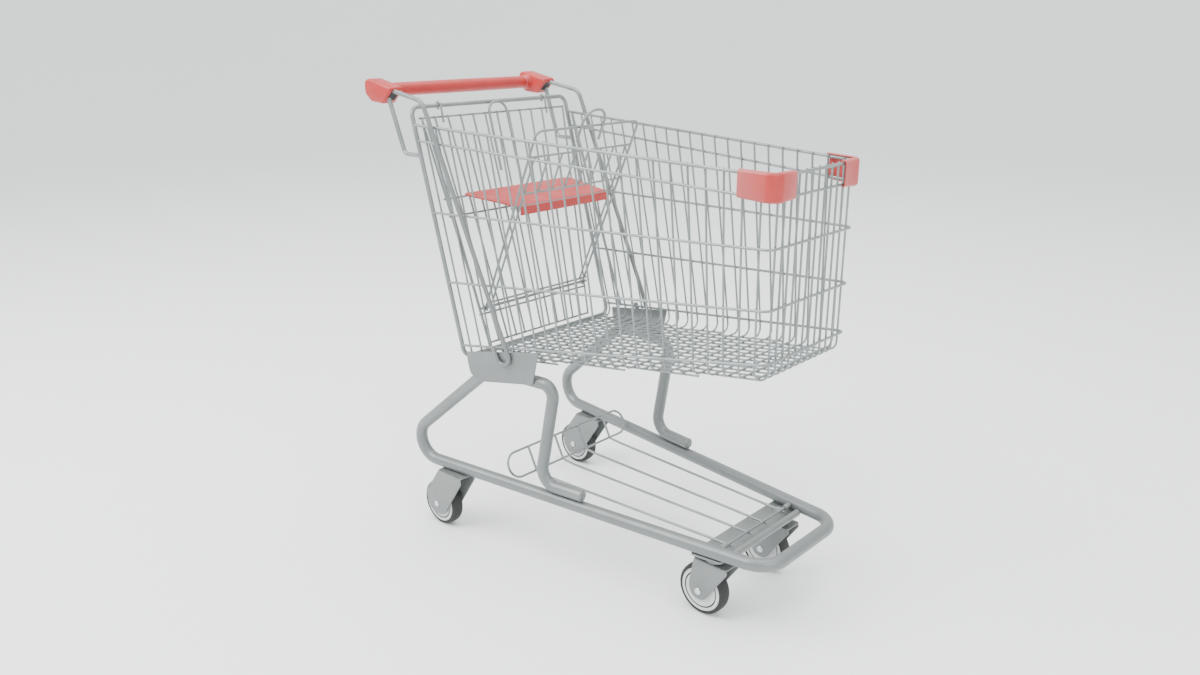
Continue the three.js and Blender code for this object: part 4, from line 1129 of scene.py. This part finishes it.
@dataclass
class Gate:
    """The rear gate: a leaning wire grille hung by two eyes from the rear frame's top rod.

    Attributes:
        ahead: the mesh plane ahead of the frame's plane.
        top_half: half width at its top wire.
        low_half: half width at its bottom wire.
        top: distance of the top wire below the rod.
        length: distance of the bottom wire below the rod.
        wire: radius of its wires.
        uprights: number of upright wires.
        eyes: half spacing of the eyes.
        eye: radius of an eye's middle line.
        loop: half width of the carrying loop at its top.
    """

    ahead: float = 5.5
    top_half: float = 204.0
    low_half: float = 152.0
    top: float = 24.0
    length: float = 507.5
    wire: float = 2.2
    uprights: int = 13
    eyes: float = 150.0
    eye: float = 7.2
    loop: float = 25.5

    def at(self, down: float, y: float, ahead: float | None = None) -> Array:
        """A point on the gate, down along its lean from the rod, across, and ahead of the frame's plane.

        Args:
            down: distance below the rod.
            y: place across the cart.
            ahead: distance ahead of the frame's plane, or None for the mesh plane.

        Returns:
            The point.
        """
        a = self.ahead if ahead is None else ahead
        x, z = PLAN.frame_high
        s, c = math.sin(PLAN.lean), math.cos(PLAN.lean)
        return np.array([x + down * s + a * c, y, z - down * c + a * s])

    def half(self, down: float) -> float:
        """Half width of the grille at a distance below the rod."""
        return self.top_half + (self.low_half - self.top_half) * (down - self.top) / (self.length - self.top)

    def down(self, z: float) -> float:
        """The distance below the rod at a height."""
        return (PLAN.frame_high[1] - z) / math.cos(PLAN.lean)

    def build(self) -> list[Piece]:
        """Makes the grille and its seat rod.

        Returns:
            The welded grille with its eyes and loop, and the rod.
        """
        step = lap(self.wire)
        parts = [rod(self.at(self.top - 1.5, s * self.half(self.top)),
                     self.at(self.length + 1.5, s * self.half(self.length)), self.wire)
                 for s in np.linspace(-1, 1, self.uprights)]
        x, z = PLAN.seat_hinge
        for down in (self.top, self.down(738), self.down(702), self.down(z) + 16, self.length):
            ends = [self.at(down, s * (self.half(down) + 3), self.ahead - step) for s in (-1, 1)]
            parts.append(rod(*ends, self.wire))
        turn = np.radians(np.linspace(10, 250, 15))
        for y in (-self.eyes, self.eyes):
            hook = [self.at(self.top + 12, y), self.at(10, y, self.ahead + 1.6)]
            hook += [self.at(-self.eye * math.sin(t), y, self.eye * math.cos(t)) for t in turn]
            parts.append(tube(np.array(hook), self.wire, 10))
        loop = [self.at(down, y, self.ahead + step + 1) for down, y in (
            (150, -self.loop), (2.6, -self.loop), (2.6, self.loop), (150, self.loop))]
        parts.append(tube(bent(loop, 23, 12), 2.8, 12))
        half = self.half(self.down(z))
        pin = rod(np.array([x, -half, z]), np.array([x, half, z]), 3.0, 14)
        return [
            Piece("gate_grille", Surface.joined(parts), Look.WIRE, "gate", "grid_wire", ("rear_gate",)),
            Piece("seat_rod", pin, Look.WIRE, "gate", "grid_wire", ("seat_hinge_rod",)),
        ]


@dataclass
class ChildSeat:
    """The folding child seat: a wire back hinged on the gate and a moulded seat panel on a rod across it.

    Attributes:
        lean: the back's angle from upright.
        height: from its hinge to its top wire.
        half: half width over the outer wires.
        inner: half width over the inner wires.
        second: distance of the second cross wire below the top one.
        window: distance from the hinge up to the wire over the leg openings.
        pivot: distance from the hinge up to the seat panel's rod.
        behind: where that rod lies, from the wires' plane.
        wire: radius of its wires.
        loop: half width of the top loop.
        eye: radius of a hinge eye's middle line.
        wall: the panel's thickness.
        bore: radius of the dip that takes the rod.
        depth: from the rod back to the panel's rear edge.
        rear_half: the panel's half width at the rear edge.
        front_half: its half width at the rod.
        tilt: how far the panel falls towards the rod.
    """

    lean: float = math.radians(23.7)
    height: float = 415.0
    half: float = 149.0
    inner: float = 134.0
    second: float = 56.0
    window: float = 279.0
    pivot: float = 242.0
    behind: float = -5.4
    wire: float = 2.2
    loop: float = 31.5
    eye: float = 5.6
    wall: float = 3.6
    bore: float = 2.9
    depth: float = 146.0
    rear_half: float = 158.0
    front_half: float = 130.0
    tilt: float = math.radians(5)

    def at(self, up: float, y: float, ahead: float = 0.0) -> Array:
        """A point on the back, up along its lean from the hinge, across, and ahead of its plane.

        Args:
            up: distance up from the hinge.
            y: place across the cart.
            ahead: distance ahead of the back's plane.

        Returns:
            The point.
        """
        x, z = PLAN.seat_hinge
        s, c = math.sin(self.lean), math.cos(self.lean)
        return np.array([x + up * s + ahead * c, y, z + up * c - ahead * s])

    def back(self) -> Surface:
        """The back: two nested bent wires, cross wires, upright wires, hinge eyes and the top loop.

        Returns:
            The back's wires in one surface.
        """
        top, low = self.height, 5.0
        second = top - self.second
        step = lap(self.wire)

        def arch(foot: float, head: float, half: float, ahead: float = 0.0) -> list[Array]:
            """The corners of a wire that goes up, across and down again."""
            corners = ((foot, -half), (head, -half), (head, half), (foot, half))
            return [self.at(up, y, ahead) for up, y in corners]

        parts = [
            tube(bent(arch(low, top, self.half), 15, 8), self.wire + 0.3, 12),
            tube(bent(arch(low + 6, second, self.inner), 11, 8), self.wire, 10),
        ]
        for up, ahead in ((second, 0.0), (self.window, step), (low + 10, step)):
            ends = [self.at(up, s * (self.half + 2), ahead) for s in (-1, 1)]
            parts.append(rod(*ends, self.wire))
        for y in np.linspace(-self.inner, self.inner, 8)[1:-1]:
            parts.append(rod(self.at(second + 1, y), self.at(self.window - 1, y), self.wire))
        parts.append(tube(bent(arch(top - 30, top + 38, self.loop, step + 1), 29, 12), 2.8, 12))
        turn = np.radians(np.linspace(90, -190, 17))
        for y in (-self.half, self.half):
            eye = [self.at(self.eye * math.sin(t), y, self.eye * math.cos(t)) for t in turn]
            parts.append(tube(np.array(eye), self.wire, 10))
        return Surface.joined(parts)

    def section(self) -> tuple[Array, Array]:
        """The panel's top face from the side: straight, down round the rod, over a roll and down as a lip.

        Returns:
            The x and z of its points from the rod's middle, from the rear edge forward.
        """
        flat = np.linspace(-self.depth, -self.bore - 1.2, 40)
        dip = np.radians(np.linspace(180, 360, 9))
        roll = np.radians(np.linspace(90, 0, 5))
        x = np.concatenate([flat, self.bore * np.cos(dip), 4.1 + 1.9 * np.cos(roll), np.full(4, 6.0)])
        z = np.concatenate([np.full(40, 2.0), self.bore * np.sin(dip) - 0.1, -0.8 + 1.9 * np.sin(roll),
                            np.linspace(-5, -16, 4)])
        return x, z

    def relief(self, x: Array, y: Array, half: Array) -> Array:
        """Height of the raised frame and oval rings: bell curves of the distance from each one's line.

        Args:
            x: each row's place along the section.
            y: each point's place across.
            half: each row's half width.

        Returns:
            The height at each point.
        """
        inside = np.minimum(np.minimum(x + self.depth, -6 - x)[:, None], half[:, None] - np.abs(y))
        border = 1.2 * np.exp(-((inside - 15) / 2.6) ** 2)
        oval = np.sqrt(((x + 76) / 42)[:, None] ** 2 + (y / 92) ** 2)
        mark = 1.1 * np.exp(-((oval - 1) / 0.07) ** 2) + 0.9 * np.exp(-((oval - 0.6) / 0.09) ** 2)
        return 0.6 * np.where(inside > 0, border + mark, 0)

    def panel(self) -> Surface:
        """The seat: a panel that narrows to the front, where it dips round the rod and hangs down as a lip.

        The top face is the section swept across, raised along its normals by the relief. The lower face is
        the same grid set back by the wall.

        Returns:
            The panel, tilted and set on its rod.
        """
        x, z = self.section()
        along = np.gradient(np.stack([x, z], -1), axis=0)
        nx, nz = unit(np.stack([-along[:, 1], along[:, 0]], -1)).T
        share = np.clip((x + self.depth) / self.depth, 0, 1)
        half = self.rear_half + (self.front_half - self.rear_half) * share
        # The rear corners are rounded by drawing the half width in near the rear edge.
        ease = np.clip((x + self.depth) / 16, 0, 1)
        half = half - 14 * (1 - np.sqrt(np.clip(1 - (1 - ease) ** 2, 0, 1)))
        y = half[:, None] * np.linspace(-1, 1, 81)[None]
        rise = self.relief(x, y, half)
        top = np.stack([x[:, None] + nx[:, None] * rise, y, z[:, None] + nz[:, None] * rise], -1)
        flat, roll, lip = x < -self.bore - 1, (x > 3.5) & (x < 5.9), x > 5.9
        low_x = np.select([flat, roll | lip], [x, 3.4], x - nx * self.wall)
        low_z = np.select([flat, roll, lip & (z > -6)], [z - self.wall, -self.bore - self.wall,
                                                         -self.bore - self.wall - 0.4], z - nz * self.wall)
        low = np.stack([low_x[:, None] + 0 * y, y * 0.995, low_z[:, None] + 0 * y], -1)
        grid = np.concatenate([top, low[:, ::-1]], 1)
        c, s = math.cos(self.tilt), math.sin(self.tilt)
        level = np.stack([c * grid[..., 0] + s * grid[..., 2], grid[..., 1],
                          -s * grid[..., 0] + c * grid[..., 2]], -1)
        return loft(level + self.at(self.pivot, 0, self.behind))

    def build(self) -> list[Piece]:
        """Makes the back, its rod and the seat panel.

        Returns:
            The three pieces.
        """
        pin = rod(*(self.at(self.pivot, y, self.behind) for y in (-152, 152)), self.wire, 12)
        return [
            Piece("seat_frame", self.back(), Look.WIRE, "seat_back_frame", "grid_wire", ("seat_back",)),
            Piece("panel_rod", pin, Look.WIRE, "seat_back_frame", "grid_wire", ("seat_pivot_rod",)),
            Piece("seat_board", self.panel(), Look.RED, "seat_panel", "red_plastic", ("child_seat",),
                  smooth=35),
        ]


@dataclass
class Tray:
    """The lower wire tray: a raised stadium loop behind, four long wires, and a hinge rod in front.

    Attributes:
        pivot: (x, z) of the hinge rod.
        wire: radius of the wires.
    """

    pivot: tuple[float, float] = (686.0, 157.0)
    wire: float = 2.6

    def build(self) -> list[Piece]:
        """Makes the tray and its two sleeves.

        Returns:
            The welded wires, and a turned sleeve at each end of the hinge rod.
        """
        x0, z0 = self.pivot
        top, low = np.array([164.0, 0, 203.5]), np.array([189.0, 0, 154.5])
        rise = float(np.linalg.norm(top - low))
        across = np.array([0, 157 + rise / 2, 0])
        loop = bent([top, top + across, low + across, low - across, top - across, top], rise / 2 - 0.4, 12)
        parts = [tube(loop[:-1], self.wire, 12, closed=True)]
        lift = unit(top - low)
        ahead = np.array([lift[2], 0, -lift[0]]) * (2 * self.wire - 0.6)
        z = z0 - self.wire - 1.4
        for rear, front in ((119, 90), (37, 27), (-37, -27), (-119, -90)):
            start = top + ahead + lift
            turn = low + ahead - lift
            path = bent([start + (0, rear, 0), turn + (0, rear, 0), (226, rear, z), (x0 + 6, front, z)],
                        (9, 18), 8)
            parts.append(tube(path, self.wire, 12))
        half = PLAN.rail_y(x0) - 15
        parts.append(rod(np.array([x0, -half, z0]), np.array([x0, half, z0]), self.wire, 12))
        made = [Piece("tray_wires", Surface.joined(parts), Look.WIRE, "tray", "grid_wire", ("lower_tray",))]
        for word, sign in SIDES:
            end = half - 1
            ring = [(3.0, end - 18), (4.6, end - 18), (5.2, end - 17.2), (5.2, end - 0.8), (4.6, end),
                    (3.0, end)]
            sleeve = turned(ring, "y", (x0, 0, z0), 24, closed=True)
            made.append(Piece(f"hinge_sleeve_{word}", sleeve.mirrored(sign), Look.TUBE, "chassis",
                              "grid_wire", (f"tray_sleeve_{word}",)))
        return made


@dataclass
class Caster:
    """One caster: pressed fork, tyre, hub, bearing and bolt, with a swivel head in front.

    Attributes:
        place: its name, such as "rear_left".
        centre: the wheel's middle.
        lead: from the axle forward to the fork crown's middle.
        crown: height of the fork's top above the axle.
        foot: the cheek's edges behind, ahead of and below the axle, and its shoulder's drop.
        swivels: whether it turns about an upright axis.
        radius: the wheel's radius over the tread.
        width: the tyre's width.
    """

    place: str
    centre: tuple[float, float, float]
    lead: float
    crown: float
    foot: tuple[float, float, float, float]
    swivels: bool
    radius: float = 52.0
    width: float = 28.0

    @property
    def fork_body(self) -> str:
        """The body that carries the fork."""
        side = self.place.split("_")[1]
        return f"front_caster_{side}" if self.swivels else "chassis"

    @property
    def wheel_body(self) -> str:
        """The body that the wheel turns with."""
        return self.place.replace("_", "_wheel_")

    def cheek(self) -> Array:
        """The fork's side outline: broad and round at the foot, raking forward up to the crown.

        Returns:
            (x, z) pairs from the axle: two quadratic curves for the foot, then the straight rake.
        """
        rear, front, low, shoulder = self.foot
        t = np.linspace(0, 1, 9)[:, None]

        def curve(a: Array, b: Array, c: Array) -> Array:
            """A quadratic curve from a to c that is drawn towards b."""
            return (1 - t) ** 2 * a + 2 * t * (1 - t) * b + t ** 2 * c

        heel = curve(np.array([-rear, 0.6 * rear]), np.array([-rear, -low]), np.array([0, -low]))
        toe = curve(np.array([0, -low]), np.array([0.75 * front, -low]), np.array([front, 0]))
        top = np.array([(self.lead + 38, self.crown - shoulder), (self.lead + 37.2, self.crown - 4),
                        (self.lead + 34, self.crown), (self.lead - 36, self.crown),
                        (self.lead - 38, self.crown - 2)])
        return np.vstack([heel, toe[1:], top])

    def fork(self) -> Surface:
        """The fork: two cheeks and a crown pressed from one sheet, with rolled shoulders.

        Returns:
            The fork at its wheel's place.
        """
        inner, outer = self.width / 2 + 4, self.width / 2 + 7
        outline = self.cheek()
        rear, front = self.lead - 38, self.lead + 38
        top = rounded_outline([(rear, -outer), (front, -outer), (front, outer), (rear, outer)], 4, 5)
        parts = [slab(outline, inner, outer, "y"), slab(outline, -outer, -inner, "y"),
                 slab(top, self.crown - 3, self.crown, "z")]
        return Surface.joined(parts).moved(self.centre)

    def tyre(self) -> Surface:
        """The tyre: a crowned tread whose shoulders round down to the hub's rim.

        Returns:
            A closed section turned about the axle.
        """
        r, w = self.radius, self.width / 2
        t = np.radians(np.linspace(-90, 90, 25))
        # A superellipse keeps the tread nearly flat in the middle and turns it quickly at the shoulders.
        rise = np.sign(np.cos(t)) * np.abs(np.cos(t)) ** 0.55
        span = np.sign(np.sin(t)) * np.abs(np.sin(t)) ** 0.8
        section = [(r - 7.4 + 7.4 * a, w * b) for a, b in zip(rise, span)]
        return turned([*section, (r - 7.8, w - 1.5), (r - 7.8, -w + 1.5)], "y", self.centre, 72, closed=True)

    def hub(self) -> Surface:
        """The hub: a boss, a dished web, a groove, and a rim that stands flush with the tyre.

        Returns:
            A closed section, the same on both faces, turned about the axle.
        """
        r, w = self.radius - 7.9, self.width / 2
        face = [(9.0, -w - 1), (14.5, -w - 1), (15.8, -w + 0.4), (18.0, -w + 1.6), (34.4, -w + 0.7),
                (34.8, -w + 2.6), (37.2, -w + 2.6), (37.6, -w + 0.3), (r - 1.0, -w + 0.5), (r, -w + 1.4)]
        return turned([*face, *[(a, -b) for a, b in face[::-1]]], "y", self.centre, 72, closed=True)

    def groove_shade(self) -> Surface:
        """Painted shade: a dark ring that fills the groove between the hub's web and its rim, standing for
        the shade in it.

        Returns:
            One turned ring in each face.
        """
        w = self.width / 2
        parts = []
        for s in (1, -1):
            ring = [(34.9, s * (w - 2.4)), (34.9, s * (w - 1.2)), (37.1, s * (w - 0.9)),
                    (37.1, s * (w - 2.4))]
            parts.append(turned(ring if s < 0 else ring[::-1], "y", self.centre, 72, closed=True))
        return Surface.joined(parts)

    def bolt(self) -> Surface:
        """The axle bolt: a domed head outside each cheek.

        Returns:
            A profile turned about the axle.
        """
        f = self.width / 2 + 7.3
        head = [(0.01, -f - 3), (3.5, -f - 2.9), (5.8, -f - 2.3), (6.9, -f - 1.2), (7.0, -f), (4.0, -f)]
        return turned([*head, *[(a, -b) for a, b in head[::-1]]], "y", self.centre, 32)

    def build(self) -> list[Piece]:
        """Makes the caster's pieces.

        Returns:
            The fork, tread, hub, painted groove shade, bearing and bolt, and in front the swivel race and
            pin.
        """
        p = self.place
        w = self.width / 2
        bearing = [(4.6, -w - 2), (8.2, -w - 2), (8.4, -w - 1.8), (8.4, w + 1.8), (8.2, w + 2), (4.6, w + 2)]
        made = [
            Piece(f"fork_{p}", self.fork(), Look.SHEET, self.fork_body, "silver_lacquer",
                  (f"caster_fork_{p}",), bevel=1.0),
            Piece(f"tread_{p}", self.tyre(), Look.RUBBER, self.wheel_body, "tread_rubber", (f"tyre_{p}",)),
            Piece(f"hub_{p}", self.hub(), Look.NYLON, self.wheel_body, "hub_nylon", (f"wheel_hub_{p}",),
                  smooth=30),
            # Painted shade: a dark ring in the hub's groove stands for the shade there.
            Piece(f"hub_groove_shade_{p}", self.groove_shade(), Look.GROOVE_SHADE, self.wheel_body, "hub_nylon"),
            Piece(f"bearing_{p}", turned(bearing, "y", self.centre, 32, closed=True), Look.ZINC,
                  self.wheel_body, "bearing_steel", (f"wheel_bearing_{p}",)),
            Piece(f"bolt_{p}", self.bolt(), Look.ZINC, self.fork_body, "zinc_steel", (f"axle_bolt_{p}",)),
        ]
        if self.swivels:
            axis = (self.centre[0] + self.lead, self.centre[1], 0.0)
            race = [(6.4, 121.3), (19, 121.3), (21, 122.6), (21, 125.4), (18.6, 127.2), (19.6, 128.4),
                    (21, 130.4), (20, 133.6), (16, 136.4), (6.4, 136.4)]
            pin = [(0.01, 114.8), (8.6, 114.8), (9, 117.6), (6, 117.6), (6, 141.4), (10, 141.4), (10, 145.0),
                   (8.6, 146.3), (0.01, 146.3)]
            side = p.split("_")[1]
            made += [
                Piece(f"swivel_race_{p}", turned(race, "z", axis, 48, closed=True), Look.TUBE, "chassis",
                      "zinc_steel", (f"swivel_head_front_{side}",)),
                Piece(f"swivel_pin_{p}", turned(pin, "z", axis, 32), Look.ZINC, "chassis", "zinc_steel",
                      (f"kingpin_front_{side}",)),
            ]
        return made


# ---------------------------------------------------------------- studio


@dataclass
class Studio:
    """The pale floor and backdrop, the soft lights and the camera.

    Attributes:
        eye: the camera's place, in millimetres from the datum.
        yaw: its turn about the upright axis, in degrees.
        pitch: how far it looks down, in degrees.
        lens: focal length in millimetres on a 36 mm frame.
    """

    eye: tuple[float, float, float] = (1597.0, -1439.25, 1086.33)
    yaw: float = 42.639
    pitch: float = 18.003
    lens: float = 29.01

    def camera(self) -> None:
        """Makes the scene's camera."""
        data = bpy.data.cameras.new("camera")
        data.sensor_width = 36.0
        data.lens = self.lens
        data.clip_end = 60.0
        made = linked("camera", data)
        down = Matrix.Rotation(math.radians(90 - self.pitch), 4, "X")
        turn = Matrix.Rotation(math.radians(self.yaw), 4, "Z") @ down
        made.matrix_world = Matrix.Translation(to_frame(np.array(self.eye))) @ turn
        bpy.context.scene.camera = made

    def floor(self) -> None:
        """Makes a wide floor that curves up into a backdrop behind the cart."""
        bend = np.radians(np.linspace(0, 80, 17))
        radius = np.concatenate([[0.1, 1.0, 3.0, 5.0], 7.0 + 5.0 * np.sin(bend)])
        height = np.concatenate([np.zeros(4), 5.0 - 5.0 * np.cos(bend)])
        turn = 2 * np.pi * np.arange(96) / 96
        rings = np.stack([radius[:, None] * np.cos(turn), radius[:, None] * np.sin(turn),
                          height[:, None] + 0 * turn], -1)
        shell = loft(rings, caps=False)
        mesh = bpy.data.meshes.new("floor")
        centre = tuple(range(len(turn)))
        mesh.from_pydata(shell.verts.tolist(), [], [centre, *shell.flipped().faces])
        mesh.shade_smooth()
        # Painted studio floor: matt white paint with a tone that hardly wanders.
        graph = blank("pale_floor")
        place = graph.add("ShaderNodeTexCoord").outputs["Object"]
        cloud = graph.add("ShaderNodeTexNoise", Vector=place, Scale=1.3, Detail=3.0)
        colour = graph.mix(cloud.outputs["Fac"], linear("f3f4f5"), linear("eff0f1"))
        shader = graph.add("ShaderNodeBsdfPrincipled", Base_Color=colour, Roughness=0.75)
        graph.add("ShaderNodeOutputMaterial", Surface=shader.outputs["BSDF"])
        mesh.materials.append(graph.material)
        linked("floor", mesh)

    def lights(self) -> None:
        """Makes a broad key from the camera's left, a fill from its right and an even pale sky."""
        for name, at, aim, size, power in (
            ("key", (-1.6, -2.6, 3.6), (0.0, 0.0, 0.4), 3.0, 270.0),
            ("fill", (3.6, -0.8, 2.6), (0.1, 0.0, 0.5), 2.6, 70.0),
            ("top", (0.0, 0.6, 4.6), (0.0, 0.0, 0.0), 4.0, 190.0),
        ):
            data = bpy.data.lights.new(name, "AREA")
            data.size = size
            data.energy = power
            made = linked(name, data)
            back = unit(np.array(at) - np.array(aim))
            side = unit(np.cross((0, 0, 1.0), back))
            turn = Matrix(np.column_stack([side, np.cross(back, side), back]).tolist()).to_4x4()
            made.matrix_world = Matrix.Translation(at) @ turn
        world = bpy.data.worlds.new("sky")
        world.use_nodes = True
        sky = world.node_tree.nodes["Background"]
        sky.inputs["Color"].default_value = linear("d6d8d7")
        sky.inputs["Strength"].default_value = 2.2
        bpy.context.scene.world = world

    def build(self) -> None:
        """Makes the whole setting."""
        self.camera()
        self.floor()
        self.lights()


def casters() -> list[Caster]:
    """Sets out the four casters.

    Returns:
        The rear ones, fixed, and the front ones, which swivel.
    """
    made = []
    for word, sign in SIDES:
        made += [
            Caster(f"rear_{word}", (REAR_AXLE_X, sign * 221.0, 52.0), lead=49.0, crown=89.0,
                   foot=(36.0, 37.0, 25.0, 15.0), swivels=False),
            Caster(f"front_{word}", (643.5, sign * 106.0, 52.0), lead=25.0, crown=69.0,
                   foot=(22.5, 23.0, 18.0, 11.0), swivels=True),
        ]
    return made


def dress_core() -> None:
    """Gives the steel core tube, which keeps its CAD shape, its finish."""
    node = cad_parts["handle_core_tube"]
    node.data.materials.clear()
    node.data.materials.append(Look.ZINC.material())


def main() -> None:
    """Builds every assembly and the setting."""
    logging.basicConfig(level=logging.INFO, format="%(message)s")
    Studio().build()
    assemblies = (Chassis(), CrossPlate(), Handle(), Basket(), Bumpers(), Gate(), ChildSeat(), Tray())
    for assembly in (*assemblies, *casters()):
        for piece in assembly.build():
            piece.make()
    dress_core()


if __name__ == "__main__":
    main()
